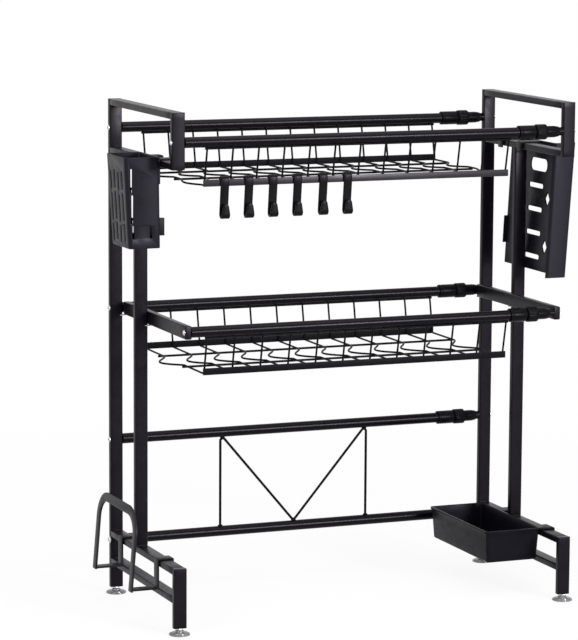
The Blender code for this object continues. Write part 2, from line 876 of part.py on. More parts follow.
def board_holder():
    """A tall channel open to the outside, with a slotted back and a longer front wall."""
    slope = -tan(board_lean)
    wall = board_wall
    back = board_standoff
    rim = board_rise
    base = rim - board_height
    rear = -board_rear
    front = rear - board_length
    depth = board_height + board_channel_drop
    path = [
        (back + board_rear_depth - wall / 2, rear - board_rear_return, 0),
        (back + board_rear_depth - wall / 2, rear - wall / 2, 0),
        (back + wall / 2, rear - wall / 2, 0),
        (back + wall / 2, front + wall / 2, 0),
        (back + board_depth - wall / 2, front + wall / 2, 0),
        (back + board_depth - wall / 2, front + board_channel, 0),
    ]
    body = plate("board_holder", [ribbon(bent(path, board_corner, bend_points), wall)], depth)
    narrowing = 1 - board_base_depth / board_depth
    for vert in body.data.vertices:
        vert.co.z += rim - depth / 2
        vert.co.x = back + (vert.co.x - back) * (1 - narrowing * (rim - vert.co.z) / depth)
    slant(body, slope)
    finish(body, holder_plastic, right_side)
    spot = half_width, 0, handle_rail_top
    place(body, right_side, *spot)

    trim_low = back - 2 * board_standoff, front + board_corner, base - board_channel_drop - overrun
    trim = blocks("board_trim", [(trim_low, (back + 2 * board_depth, rear + overrun, base))])
    outline = rounded_outline(window_width, window_height, window_corner, bend_points)
    outlines = [[(y - window_y, z - window_drop) for y, z in outline]]
    for index in range(board_slot_count):
        drop = board_slot_first + index * board_slot_pitch
        outline = rounded_outline(board_slot_width, board_slot_height, board_slot_corner, 1)
        outlines.append([(y - board_slot_y, z - drop) for y, z in outline])
    for drop in diamond_drops:
        across, up = diamond_width / 2, diamond_height / 2
        outline = ((across, 0), (0, up), (-across, 0), (0, -up))
        outlines.append([(y - diamond_y, z - drop) for y, z in outline])
    windows = plate("board_windows", outlines, 2 * overrun + wall)
    windows.data.transform(Matrix.Translation((back + wall / 2, 0, 0)) @ to_side_view)
    slant(windows, slope)
    for cutter in (trim, windows):
        place(cutter, right_side, *spot)
        join(body, cutter, "DIFFERENCE")

    half = wall / 2
    level = base + board_floor
    floors = blocks("board_floors", [
        ((back + half, front + half, base), (back + board_base_depth - half, front + board_channel, level)),
        ((back + half, rear - board_channel, base), (back + board_rear_depth - half, rear - half, level)),
    ])
    high = -board_fin_drop
    low = back - board_fin, rear - board_fin_width, high - board_fin_height
    fin = blocks("board_fin", [(low, (back + half, rear - board_corner, high))])
    places = [-distance for distance in board_arm_places]
    hooks = rail_hooks("board_rail_hook", back + half, places, board_arm, -1)
    slant(floors, slope)
    slant(fin, slope)
    for solid in [floors, fin, *hooks]:
        place(solid, right_side, *spot)
        join(body, solid, "UNION")


board_holder()


# Sink tray with a slim rim, hooked over the right foot by two tabs
def sink_tray():
    top = tray_width, tray_length
    base = tray_width - tray_taper, tray_length - tray_taper
    level = fit_gap + tray_tab
    x = -(fit_gap + tray_rim + tray_width / 2)
    tray = open_box("sink_tray", top, base, tray_depth - tray_rim_height / 2, tray_corner, tray_wall)
    tray.data.transform(Matrix.Translation((x, 0, level - tray_rim_height / 2)))
    finish(tray, tray_plastic, right_side)
    middle = tray_rear + tray_rim + tray_length / 2
    spot = inner_face, -middle, foot_top
    place(tray, right_side, *spot)

    rings = []
    for grow in (tray_rim, -tray_wall * tray_rim_lap_share):
        width, length = tray_width + 2 * grow, tray_length + 2 * grow
        rings.append(rounded_outline(width, length, tray_corner + grow, bend_points))
    rim = plate("tray_rim", rings, tray_rim_height)
    rim.data.transform(Matrix.Translation((x, 0, fit_gap + tray_tab / 2)))
    far = tube_width + fit_gap + tray_tab / 2
    height = fit_gap + tray_tab / 2
    start = -fit_gap - tray_rim / 2
    outline = ribbon([(start, height), (far, height), (far, height - tray_tab_lip)], tray_tab)
    tabs = []
    for index, y in enumerate(tray_tab_places):
        tab = plate(f"tray_tab_{index + 1}", [outline], tray_tab_width)
        tab.data.transform(Matrix.Translation((0, middle - y, 0)) @ to_front_view)
        tabs.append(tab)
    for solid in [rim, *tabs]:
        place(solid, right_side, *spot)
        join(tray, solid, "UNION")


sink_tray()


# Pan lid holder: an arch on two strips that hook over the left foot
def lid_holder():
    sheet = lid_sheet
    half = (lid_front - lid_rear) / 2
    foot_level = -lid_ledge_drop - sheet
    corner = Vector((half - lid_corner, lid_rise - lid_corner))
    turns = [pi / 2 * step / arch_points for step in range(arch_points + 1)]
    arch = []
    for radius in (lid_corner, lid_corner - lid_band):
        right = [(corner.x + radius * cos(turn), corner.y + radius * sin(turn)) for turn in turns]
        foot = corner.x + radius
        leg = [(foot, foot_level), *right]
        band = leg + [(-x, z) for x, z in leg[::-1]]
        arch += band if radius == lid_corner else band[::-1]
    holder = plate("lid_holder", [arch], sheet)
    holder.data.transform(Matrix.Translation((0, 0, lid_ledge_drop)) @ to_side_view)
    slant(holder, -tan(lid_lean))
    holder.data.transform(Matrix.Translation((-lid_reach, 0, -lid_ledge_drop)))
    finish(holder, lid_coat, left_side)
    spot = -half_width, -(lid_rear + half), foot_top
    place(holder, left_side, *spot)

    gap = fit_gap + sheet / 2
    far = tube_width + gap
    ledge = -lid_ledge_drop
    end = sheet / 4 - lid_reach
    path = [(far, gap - lid_hook_lip), (far, gap), (-gap, gap), (-gap, ledge), (end, ledge)]
    outline = ribbon(path, sheet)
    for index, y in enumerate((lid_strip / 2 - half, half - lid_strip / 2)):
        strip = plate(f"lid_strip_{index + 1}", [outline], lid_strip)
        strip.data.transform(Matrix.Translation((0, y, 0)) @ to_front_view)
        place(strip, left_side, *spot)
        join(holder, strip, "UNION")


lid_holder()


# The rack's origin is the middle of its outline on the ground
def centre_on_ground():
    bpy.context.view_layer.update()
    graph = bpy.context.evaluated_depsgraph_get()
    spots = []
    for obj in rack_parts.objects:
        if obj.type == "MESH":
            shape = obj.evaluated_get(graph)
            spots += [shape.matrix_world @ Vector(corner) for corner in shape.bound_box]
    low_x, high_x = min(spot.x for spot in spots), max(spot.x for spot in spots)
    low_y, high_y = min(spot.y for spot in spots), max(spot.y for spot in spots)
    rack_root.location = (-(low_x + high_x) / 2, -(low_y + high_y) / 2, 0)


centre_on_ground()
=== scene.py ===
# Over sink dish rack: finer pieces, finishes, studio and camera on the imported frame
import random
from math import atan2, cos, pi, radians, sin, sqrt, tan
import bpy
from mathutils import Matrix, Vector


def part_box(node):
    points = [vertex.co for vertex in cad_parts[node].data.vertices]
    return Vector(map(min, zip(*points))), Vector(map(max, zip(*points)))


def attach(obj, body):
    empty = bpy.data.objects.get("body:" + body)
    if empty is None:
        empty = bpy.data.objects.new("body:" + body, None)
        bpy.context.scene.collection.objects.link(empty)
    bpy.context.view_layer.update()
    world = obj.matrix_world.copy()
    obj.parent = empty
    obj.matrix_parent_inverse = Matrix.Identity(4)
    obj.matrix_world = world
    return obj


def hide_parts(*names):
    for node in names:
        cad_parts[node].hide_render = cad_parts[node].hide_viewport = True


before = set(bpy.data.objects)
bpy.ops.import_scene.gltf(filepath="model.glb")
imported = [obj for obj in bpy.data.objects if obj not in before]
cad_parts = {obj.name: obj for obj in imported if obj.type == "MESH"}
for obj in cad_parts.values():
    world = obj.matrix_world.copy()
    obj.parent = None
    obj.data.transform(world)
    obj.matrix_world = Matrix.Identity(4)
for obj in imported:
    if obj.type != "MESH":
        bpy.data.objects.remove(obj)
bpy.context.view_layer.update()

from types import SimpleNamespace as Sizes

import bmesh
import bpy
from mathutils import Matrix, Vector

random.seed(7)  # weld beads and screws turn out the same each run

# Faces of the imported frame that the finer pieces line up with
leftUpright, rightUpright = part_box("left_rear_upright"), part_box("right_rear_upright")
leftFace, leftInner, rearFace = leftUpright[0].x, leftUpright[1].x, leftUpright[1].y
rightInner, rightFace = rightUpright[0].x, rightUpright[1].x
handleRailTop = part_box("left_handle_low_rail")[1].z
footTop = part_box("left_foot_top_rail")[1].z
sides = ("left", "right")
tubeWidth = 0.020
seatGap = 0.0003  # room between two pieces, one of which rests on the other
quarterTurn = pi / 2


# Finishes

def setInputs(tree, node, inputs):
    # A socket is linked, and any other value is set on the input itself
    for key, value in inputs.items():
        if isinstance(value, bpy.types.NodeSocket):
            tree.links.new(value, node.inputs[key])
        else:
            node.inputs[key].default_value = value


def makeNode(tree, kind, inputs=None, **settings):
    made = tree.nodes.new("ShaderNode" + kind)
    for key, value in settings.items():
        setattr(made, key, value)
    setInputs(tree, made, inputs or {})
    return made


def maths(tree, operation, first, second, **settings):
    return makeNode(tree, "Math", {0: first, 1: second}, operation=operation, **settings).outputs[0]


def mapped(tree, value, start, end, low, high):
    # Start and end of the value come out as low and high
    inputs = {"Value": value, "From Min": start, "From Max": end, "To Min": low, "To Max": high}
    return makeNode(tree, "MapRange", inputs).outputs[0]


def noise(tree, spot, scale, detail, roughness=0.5, distortion=0.0):
    inputs = {"Vector": spot, "Scale": scale, "Detail": detail, "Roughness": roughness, "Distortion": distortion}
    return makeNode(tree, "TexNoise", inputs).outputs["Fac"]


def toned(tree, value, colours, places=(0.0, 1.0)):
    ramp = makeNode(tree, "ValToRGB", {"Fac": value})
    for stop, place, colour in zip(ramp.color_ramp.elements, places, colours):
        stop.position, stop.color = place, (*colour, 1)
    return ramp.outputs["Color"]


def bumped(tree, height, look):
    inputs = {"Height": height, "Strength": look.bump, "Distance": look.bumpDepth}
    return makeNode(tree, "Bump", inputs).outputs[0]


def edgeMask(tree, look):
    # White along outer edges, black on flat faces
    rounded = makeNode(tree, "Bevel", {"Radius": look.edgeWidth}, samples=6).outputs[0]
    normal = makeNode(tree, "NewGeometry").outputs["Normal"]
    facing = makeNode(tree, "VectorMath", {0: rounded, 1: normal}, operation="DOT_PRODUCT")
    return mapped(tree, facing.outputs["Value"], *look.edgeFacing, 0.0, 1.0)


def newFinish(name):
    material = bpy.data.materials.new(name)
    material.use_nodes = True
    tree = material.node_tree
    return material, tree, makeNode(tree, "TexCoord").outputs["Object"]


def blackFinish(name, look):
    # Coated steel or moulded plastic: clouded colour, fine grain, polished and rubbed edges
    look = Sizes(**look)
    material, tree, spot = newFinish(name)
    stretched = makeNode(tree, "Mapping", {"Vector": spot, "Scale": look.stretch}).outputs[0]
    cloud = noise(tree, stretched, look.cloudScale, 4.0, roughness=0.6)
    smear = noise(tree, stretched, look.cloudScale * look.smearTimes, 3.0, distortion=0.6)
    grain = noise(tree, spot, look.grainScale, 2.0, roughness=0.55)
    pits = makeNode(tree, "TexVoronoi", {"Vector": spot, "Scale": look.grainScale * look.pitTimes})
    patches = mapped(tree, smear, *look.patchSpan, look.edgeRub * look.patchLow, look.edgeRub)
    rubbed = maths(tree, "MULTIPLY", edgeMask(tree, look), patches)
    tone = toned(tree, cloud, (look.dark, look.light), look.toneSpan)
    colour = makeNode(tree, "Mix", {0: rubbed, 6: tone, 7: (*look.rubbed, 1)}, data_type="RGBA")
    polish = mapped(tree, smear, *look.polishSpan, *look.roughness)
    worn = maths(tree, "MULTIPLY", rubbed, look.wornPolish)
    relief = maths(tree, "MULTIPLY", pits.outputs["Distance"], look.pitShare)
    setInputs(tree, tree.nodes["Principled BSDF"], {
        "Base Color": colour.outputs[2],
        "Roughness": maths(tree, "ADD", polish, worn, use_clamp=True),
        "Normal": bumped(tree, maths(tree, "ADD", grain, relief), look),
        "Specular IOR Level": look.gloss, "Specular Tint": (*look.tint, 1), "Metallic": 0.0,
    })
    return material


# What the black finishes share; each look below adds or changes what it needs
blackLook = dict(
    rubbed=(0.033, 0.031, 0.036), tint=(0.95, 0.90, 1.0), stretch=(1.0, 1.0, 1.0), toneSpan=(0.3, 0.72),
    grainScale=1500.0, pitShare=0.25, pitTimes=0.6, smearTimes=5.3, patchSpan=(0.44, 0.66), patchLow=0.25,
    polishSpan=(0.3, 0.7), wornPolish=-0.12, bumpDepth=0.0001, edgeFacing=(0.998, 0.86), edgeWidth=0.0006,
    edgeRub=0.4,
)
frameLook = dict(
    blackLook, dark=(0.0036, 0.0028, 0.0048), light=(0.0056, 0.0046, 0.0072), tint=(0.94, 0.86, 1.0),
    cloudScale=22.0, roughness=(0.27, 0.37), gloss=0.108, bump=0.28, bumpDepth=0.00012,
    edgeWidth=0.0009, edgeRub=0.5,
)
railLook = dict(
    blackLook, dark=(0.0017, 0.0014, 0.0022), light=(0.0030, 0.0026, 0.0038), rubbed=(0.018, 0.017, 0.019),
    stretch=(0.25, 1.0, 1.0), cloudScale=30.0, grainScale=1300.0, pitShare=0.15, roughness=(0.22, 0.28),
    gloss=0.085, bump=0.02, edgeRub=0.35,
)
wireLook = dict(
    blackLook, dark=(0.0019, 0.0016, 0.0024), light=(0.0034, 0.0030, 0.0041), rubbed=(0.012, 0.0115, 0.013),
    cloudScale=45.0, grainScale=1300.0, pitShare=0.2, roughness=(0.42, 0.52), gloss=0.07, bump=0.02,
    edgeWidth=0.0004, edgeRub=0.25,
)
# Painted light: a lit copy of the wire coat for the top front strip only, lighter and glossier to stand in for
# the light and reflection that strip catches
paintedLightStripLook = dict(
    blackLook, dark=(0.0042, 0.0036, 0.0052), light=(0.0084, 0.0076, 0.0098), tint=(0.96, 0.92, 1.0),
    stretch=(0.12, 1.0, 1.0), cloudScale=26.0, roughness=(0.30, 0.42), gloss=0.29, bump=0.16, edgeWidth=0.0005,
)
collarLook = dict(
    blackLook, dark=(0.0018, 0.0016, 0.0022), light=(0.0033, 0.0030, 0.0038), rubbed=(0.016, 0.016, 0.017),
    cloudScale=60.0, grainScale=2200.0, pitShare=0.5, roughness=(0.24, 0.36), gloss=0.06, bump=0.14,
    edgeWidth=0.0005,
)
hookLook = dict(
    blackLook, dark=(0.0022, 0.0019, 0.0024), light=(0.0040, 0.0035, 0.0043), rubbed=(0.02, 0.019, 0.02),
    cloudScale=70.0, grainScale=1900.0, pitShare=0.3, roughness=(0.22, 0.34), gloss=0.08, bump=0.15,
)
holderLook = dict(
    blackLook, dark=(0.0040, 0.0036, 0.0060), light=(0.0062, 0.0057, 0.0088), rubbed=(0.04, 0.039, 0.046),
    tint=(0.84, 0.82, 1.0), stretch=(1.0, 1.0, 0.35), cloudScale=26.0, grainScale=2400.0, pitShare=0.7,
    roughness=(0.33, 0.45), gloss=0.16, bump=0.3, edgeRub=0.45,
)
trayLook = dict(
    blackLook, dark=(0.0032, 0.0030, 0.0050), light=(0.0054, 0.0052, 0.0078), rubbed=(0.033, 0.033, 0.038),
    tint=(0.80, 0.80, 1.0), stretch=(0.5, 0.5, 1.0), cloudScale=24.0, grainScale=2400.0, pitShare=0.7,
    roughness=(0.34, 0.46), gloss=0.08, bump=0.3, edgeWidth=0.0008, edgeRub=0.6,
)
lidLook = dict(
    blackLook, dark=(0.0062, 0.0056, 0.0072), light=(0.0104, 0.0096, 0.0116), rubbed=(0.034, 0.032, 0.037),
    cloudScale=34.0, roughness=(0.32, 0.44), gloss=0.14, bump=0.28, bumpDepth=0.00012,
    edgeWidth=0.0007, edgeRub=0.5,
)
frameCoat = blackFinish("frameCoat", frameLook)
railCoat = blackFinish("railCoat", railLook)
wireCoat = blackFinish("wireCoat", wireLook)
stripCoat = blackFinish("stripCoat", paintedLightStripLook)
collarPlastic = blackFinish("collarPlastic", collarLook)
hookPlastic = blackFinish("hookPlastic", hookLook)
holderPlastic = blackFinish("holderPlastic", holderLook)
trayPlastic = blackFinish("trayPlastic", trayLook)
lidCoat = blackFinish("lidCoat", lidLook)


def zincFinish(name, look):
    # Plated steel and the glossy pads: fine turning scratches over dull blotches
    look = Sizes(**look)
    material, tree, spot = newFinish(name)
    blotch = noise(tree, spot, look.blotchScale, 3.0)
    scratch = noise(tree, spot, look.scratchScale, 2.0, distortion=2.5)
    setInputs(tree, tree.nodes["Principled BSDF"], {
        "Base Color": toned(tree, blotch, (look.dull, look.bright)),
        "Roughness": mapped(tree, scratch, *look.polishSpan, *look.roughness),
        "Normal": bumped(tree, scratch, look), "Metallic": look.metallic,
    })
    return material


zincLook = dict(
    dull=(0.42, 0.42, 0.42), bright=(0.78, 0.78, 0.77), blotchScale=700.0, scratchScale=2600.0,
    polishSpan=(0.3, 0.7), roughness=(0.22, 0.4), bump=0.25, bumpDepth=0.00005, metallic=1.0,
)
padLook = dict(
    zincLook, dull=(0.10, 0.10, 0.105), bright=(0.28, 0.28, 0.29), blotchScale=160.0, scratchScale=1800.0,
    roughness=(0.14, 0.26), bump=0.15, metallic=0.35,
)
screwZinc = zincFinish("screwZinc", zincLook)
padPlastic = zincFinish("padPlastic", padLook)
print("finishes: ready")


# Objects and pieces

def pieceName(node):
    # left_rear_foot becomes leftRearFoot
    first, *rest = node.split("_")
    return first + "".join(word.title() for word in rest)


def middleOf(node):
    return [(low + high) / 2 for low, high in zip(*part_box(node))]


def placeObject(name, data):
    made = bpy.data.objects.new(name, data)
    bpy.context.scene.collection.objects.link(made)
    return made


def meshObject(name, work):
    mesh = bpy.data.meshes.new(name)
    work.to_mesh(mesh)
    work.free()
    return placeObject(name, mesh)


def shadeRound(mesh, sharpAngle=38.0):
    mesh.shade_smooth()
    mesh.set_sharp_from_angle(angle=radians(sharpAngle))


def finishPiece(name, work, finish, body, node=None, sharpAngle=38.0):
    # Turns a bmesh into a piece with its finish and body, in place of a node if one is named
    bmesh.ops.recalc_face_normals(work, faces=work.faces)
    piece = meshObject(pieceName(name), work)
    piece.data.materials.append(finish)
    shadeRound(piece.data, sharpAngle)
    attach(piece, body)
    if node:
        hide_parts(node)
    return piece


def applyShape(piece):
    # The modified shape becomes the piece's mesh
    bpy.context.view_layer.update()
    graph = bpy.context.evaluated_depsgraph_get()
    mesh = bpy.data.meshes.new_from_object(piece.evaluated_get(graph))
    piece.modifiers.clear()
    piece.data = mesh


def cutWith(piece, work, operation="DIFFERENCE"):
    bmesh.ops.recalc_face_normals(work, faces=work.faces)
    cutter = meshObject("cutter", work)
    modifier = piece.modifiers.new("cut", "BOOLEAN")
    modifier.operation, modifier.solver, modifier.object = operation, "EXACT", cutter
    applyShape(piece)
    bpy.data.objects.remove(cutter, do_unlink=True)


def formed(addForm, *values, **more):
    # A new bmesh that holds one form
    work = bmesh.new()
    addForm(work, *values, **more)
    return work


def joinOn(piece, addForm, *values, **more):
    # One more form grows into the piece
    cutWith(piece, formed(addForm, *values, **more), "UNION")


def softEdges(piece, width, angle=50.0, segments=2):
    # Rounds the sharp edges that the cuts left
    modifier = piece.modifiers.new("edges", "BEVEL")
    modifier.width, modifier.segments = width, segments
    modifier.limit_method, modifier.angle_limit = "ANGLE", radians(angle)
    applyShape(piece)
    shadeRound(piece.data)


# Outlines, paths and the forms made of them

def turns(count, sweep=quarterTurn):
    return [sweep * step / count for step in range(count + 1)]


def arc(radius, angles, centre=(0.0, 0.0)):
    return [(centre[0] + radius * cos(angle), centre[1] + radius * sin(angle)) for angle in angles]


def roundOutline(radius, sides=14):
    return arc(radius, turns(sides, 2 * pi)[:-1])


def roundRect(width, height, radius, steps=5):
    # Corners go counterclockwise from the first quadrant
    spots = []
    for quarter, (sx, sy) in enumerate(((1, 1), (-1, 1), (-1, -1), (1, -1))):
        angles = [quarterTurn * (quarter + step / steps) for step in range(steps + 1)]
        spots += arc(radius, angles, (sx * (width / 2 - radius), sy * (height / 2 - radius)))
    return spots


def softened(profile, radius, steps=3, closed=True):
    # Each corner of a profile becomes a short curve that its edges can hold
    spots = [Vector(spot) for spot in profile]
    count = len(spots)
    out = []
    for index, corner in enumerate(spots):
        if not closed and index in (0, count - 1):
            out.append(tuple(corner))
            continue
        before, after = spots[index - 1], spots[(index + 1) % count]
        reach = min(radius, (before - corner).length * 0.45, (after - corner).length * 0.45)
        first = corner + (before - corner).normalized() * reach
        last = corner + (after - corner).normalized() * reach
        for step in range(steps + 1):
            share = step / steps
            out.append(tuple(first * (1 - share) ** 2 + corner * 2 * share * (1 - share) + last * share ** 2))
    return out


def bentPath(corners, radius, steps=6):
    # A path whose inner corners are arcs of the given radius
    corners = [Vector(corner) for corner in corners]
    out = [corners[0]]
    for before, corner, after in zip(corners, corners[1:], corners[2:]):
        back, ahead = (before - corner).normalized(), (after - corner).normalized()
        half = back.angle(ahead) / 2
        reach = radius / tan(half)
        centre = corner + (back + ahead).normalized() * (radius / sin(half))
        first, last = corner + back * reach - centre, corner + ahead * reach - centre
        sweep = pi - 2 * half
        for turn in turns(steps, sweep):
            out.append(centre + (first * sin(sweep - turn) + last * sin(turn)) / sin(sweep))
    out.append(corners[-1])
    return out


def addLoft(work, rings, looped=False):
    # Skins rings of equal count; a ring of one point closes to a tip, and a loop has no ends to cap
    rows = [[work.verts.new(spot) for spot in ring] for ring in rings]
    for low, high in zip(rows, rows[1:] + rows[:1] if looped else rows[1:]):
        count = max(len(low), len(high))
        for index in range(count):
            after = (index + 1) % count
            corners = [low[index % len(low)], low[after % len(low)]]
            corners += [high[after % len(high)], high[index % len(high)]]
            work.faces.new([corner for place, corner in enumerate(corners) if corner not in corners[:place]])
    for row in () if looped else (rows[0], rows[-1]):
        if len(row) > 2:
            work.faces.new(row)


def addTurned(work, profile, steps, centre, axis="X", looped=True):
    # Turns radius and distance pairs about an axis through the centre
    placed = {"X": lambda u, v, along: (along, u, v), "-X": lambda u, v, along: (-along, u, v),
              "Z": lambda u, v, along: (u, v, along)}[axis]
    rings = []
    for radius, along in profile:
        ring = roundOutline(radius, steps) if radius else [(0.0, 0.0)]
        rings.append([Vector(centre) + Vector(placed(u, v, along)) for u, v in ring])
    addLoft(work, rings, looped)


def addSweep(work, path, outline, across=None, widths=None):
    # Carries an outline along a path, with no twist or with a fixed side and its own widths
    path = [Vector(spot) for spot in path]
    runs = [(after - before).normalized() for before, after in zip(path, path[1:])]
    side = Vector(across) if across else runs[0].orthogonal().normalized()
    rings = []
    for spot, before, after in zip(path, runs[:1] + runs, runs + runs[-1:]):
        run = (before + after).normalized()
        if not across:
            side = (side - run * side.dot(run)).normalized()
        lift = run.cross(side).normalized()
        stretch = 1 / max(run.dot(before), 0.3) if across else 1
        width = widths[len(rings)] if widths else 1
        rings.append([spot + side * (u * width) + lift * (v * stretch) for u, v in outline])
    addLoft(work, rings)


def addNugget(work, spot, size):
    # A flattened drop of weld metal
    ball = bmesh.ops.create_icosphere(work, subdivisions=2, radius=1.0)
    for vert in ball["verts"]:
        vert.co = Vector(spot) + Vector([along * reach for along, reach in zip(vert.co, size)])


def addBlock(work, low, high, radius):
    # A box with its edges rounded over
    size = [top - base for base, top in zip(low, high)]
    middle = Vector([(top + base) / 2 for base, top in zip(low, high)])
    radius = min(radius, min(size) * 0.45)
    rings = []
    for flip, angles in ((-1, turns(3)), (1, turns(3)[::-1])):
        for angle in angles:
            inset = radius * (1 - sin(angle))
            z = flip * (size[2] / 2 - radius + radius * cos(angle))
            outline = roundRect(size[0] - 2 * inset, size[1] - 2 * inset, max(radius - inset, radius * 0.1), 3)
            rings.append([middle + Vector((x, y, z)) for x, y in outline])
    addLoft(work, rings)


# Side frames of flat tube

tubeShape = dict(
    corner=0.0018, leastCorner=0.0004, endRound=0.0007, buttRound=0.0002, bead=0.0011, beadInset=0.0016,
)
tubeRuns = {  # the axis along each tube
    "rear_upright": 2, "handle_post": 2, "foot_post": 2, "front_upright": 2,
    "handle_top_rail": 1, "handle_low_rail": 1, "foot_top_rail": 1, "foot_low_rail": 1, "shelf_arm": 1,
}


def addTube(work, low, high, along, endRound, reach):
    # A closed tube bar between two corners of its box
    its = Sizes(**tubeShape)
    spread = [axis for axis in range(3) if axis != along]
    sizes = [high[axis] - low[axis] for axis in spread]
    middle = [(high[axis] + low[axis]) / 2 for axis in spread]
    start, end = low[along] - reach, high[along] + reach
    stations = [(start + endRound * (1 - cos(turn)), endRound * (1 - sin(turn))) for turn in turns(3)]
    stations += [(start + (end - start) * share, 0.0) for share in (0.1, 0.5, 0.9)]
    stations += [(end - (place - start), inset) for place, inset in stations[3::-1]]
    rings = []
    for place, inset in stations:
        ring = []
        corner = max(its.corner - inset, its.leastCorner)
        for u, v in roundRect(sizes[0] - 2 * inset, sizes[1] - 2 * inset, corner):
            spot = [0.0, 0.0, 0.0]
            spot[along], spot[spread[0]], spot[spread[1]] = place, middle[0] + u, middle[1] + v
            ring.append(spot)
        rings.append(ring)
    addLoft(work, rings)


for side in sides:
    for part, along in tubeRuns.items():
        node = f"{side}_{part}"
        butts = part.endswith("_rail") or part == "front_upright"  # against a post or a rail
        endRound, reach = (tubeShape["buttRound"], seatGap) if butts else (tubeShape["endRound"], 0.0)
        work = formed(addTube, *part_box(node), along, endRound, reach)
        piece = finishPiece(node, work, frameCoat, side + "_side", node)


def addBead(work, start, end, radius, steps=16):
    # A run of weld with slight ripples, laid in an inner corner
    rings = []
    for step in range(steps + 1):
        share = step / steps
        taper = sqrt(max(0.0, 1 - abs(2 * share - 1) ** 6))
        size = radius * (0.15 + 0.85 * taper) * (1 + random.uniform(-0.12, 0.12))
        spot = Vector(start).lerp(Vector(end), share)
        rings.append([spot + Vector((0, u, v)) for u, v in roundOutline(size, 10)])
    addLoft(work, rings)


def cornerSpots(side):
    # Inner corners where a rail meets a post, as y and z pairs
    box = {part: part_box(f"{side}_{part}") for part in tubeRuns}
    rear, handle, foot = box["rear_upright"][0].y, box["handle_post"][1].y, box["foot_post"][1].y
    topRail, lowRail, footRail, footLow = (
        [corner.z for corner in box[part]]
        for part in ("handle_top_rail", "handle_low_rail", "foot_top_rail", "foot_low_rail"))
    spots = [(rear, topRail[0]), (handle, topRail[0])]
    spots += [(rear, lowRail[0]), (rear, lowRail[1]), (handle, lowRail[1])]
    spots += [(rear, footRail[0]), (rear, footRail[1]), (foot, footRail[0])]
    spots += [(y, z) for y in (rear, foot) for z in footLow]
    return spots + [(corner.y, z) for corner in box["front_upright"] for z in (lowRail[0], footRail[1])]


for side in sides:
    low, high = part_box(side + "_rear_upright")
    work = bmesh.new()
    inset = tubeShape["beadInset"]
    for y, z in cornerSpots(side):
        addBead(work, (low.x + inset, y, z), (high.x - inset, y, z), tubeShape["bead"])
    piece = finishPiece(side + "_weld_beads", work, frameCoat, side + "_side")
print("side frames: tubes and weld beads")


# Screws that hold the rails and the shelf arms

screwShape = dict(
    radius=0.0034, height=0.0020, washer=0.0042, washerHeight=0.0006, washerEdge=0.0003, sink=0.0001,
    crossReach=0.0019, crossWidth=0.00045, crossDepth=0.0011, bigScale=1.25,
)


def addScrew(work, spot, axis, scale):
    # A pan head over a thin washer
    its = Sizes(**screwShape)
    sizes = its.radius, its.height, its.washer, its.washerHeight
    radius, height, washer, step = (size * scale for size in sizes)
    profile = [(washer, 0.0), (washer, step * 0.7), (washer - its.washerEdge, step), (radius, step)]
    profile += [(radius * cos(turn), step + height * sin(turn)) for turn in (0.15, 0.45, 0.8, 1.15, 1.35)]
    addTurned(work, profile + [(0.0, step + height)], 20, spot, axis, looped=False)


def addCross(work, spot, sign, scale, start):
    # The crossed driver recess, as a cutter
    its = Sizes(**screwShape)
    crown = (its.height + its.washerHeight) * scale
    a, b = its.crossReach * scale, its.crossWidth * scale
    outline = []
    for quarter in range(4):
        turn = start + quarter * quarterTurn
        for u, v in ((a, -b), (a, b), (b, b)):
            outline.append((u * cos(turn) - v * sin(turn), u * sin(turn) + v * cos(turn)))
    x, y, z = spot
    rings = [[(x + sign * out, y + u, z + v) for u, v in outline]
             for out in (crown - its.crossDepth, crown + its.crossDepth)]
    addLoft(work, rings)


for side, sign, outside in (("left", -1, leftFace), ("right", 1, rightFace)):
    screws = []
    for rail in ("top_rear", "shelf_rear", "back_upper", "back_lower", "top_front", "shelf_front"):
        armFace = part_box(side + "_shelf_arm")[0 if side == "left" else 1].x
        face = armFace if rail == "shelf_front" else outside
        scale = screwShape["bigScale"] if rail == "back_lower" else 1.0
        screws.append(((face - sign * screwShape["sink"], *middleOf(rail + "_outer_tube")[1:]), scale))
    work, cuts = bmesh.new(), bmesh.new()
    for spot, scale in screws:
        addScrew(work, spot, "X" if sign > 0 else "-X", scale)
        addCross(cuts, spot, sign, scale, random.uniform(0, quarterTurn))
    cutWith(finishPiece(side + "_screws", work, screwZinc, side + "_side"), cuts)


# Plated tabs under the shelf arms, at the uprights

tabShape = dict(  # left and right say where a tab starts and ends beside the upright's inner face
    thickness=0.0013, deep=0.0062, gap=0.0001, corner=0.0004, left=(-0.0058, 0.0038), right=(-0.0094, -0.0004),
)
for side, edge in (("left", leftInner), ("right", rightInner)):
    its = Sizes(**tabShape)
    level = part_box(side + "_shelf_arm")[0].z - its.gap
    start, end = tabShape[side]
    work = bmesh.new()
    for upright in ("_rear_upright", "_front_upright"):
        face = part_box(side + upright)[0].y - its.gap
        low = (edge + start, face - its.deep, level - its.thickness)
        addBlock(work, low, (edge + end, face, level), its.corner)
    finishPiece(side + "_arm_tabs", work, screwZinc, side + "_side")
print("screws and tabs: on both sides")


# Telescopic rails with sleeves, grip nuts and sliding tubes

railShape = dict(
    radius=0.008, wall=0.0009, innerRadius=0.0064, steps=44,
    sleeveRadius=0.0105, sleeveLength=0.026, sleeveOverlap=0.004, neckRadius=0.00875, neckGap=0.0025,
    shoulderGap=0.0004,
    ringLength=0.0175, ringRadius=0.01175, ringEdge=0.0012, ribs=22, ribDepth=0.0005,
    noseRadius=0.0087, tipRadius=0.0074, tipLength=0.007,
)


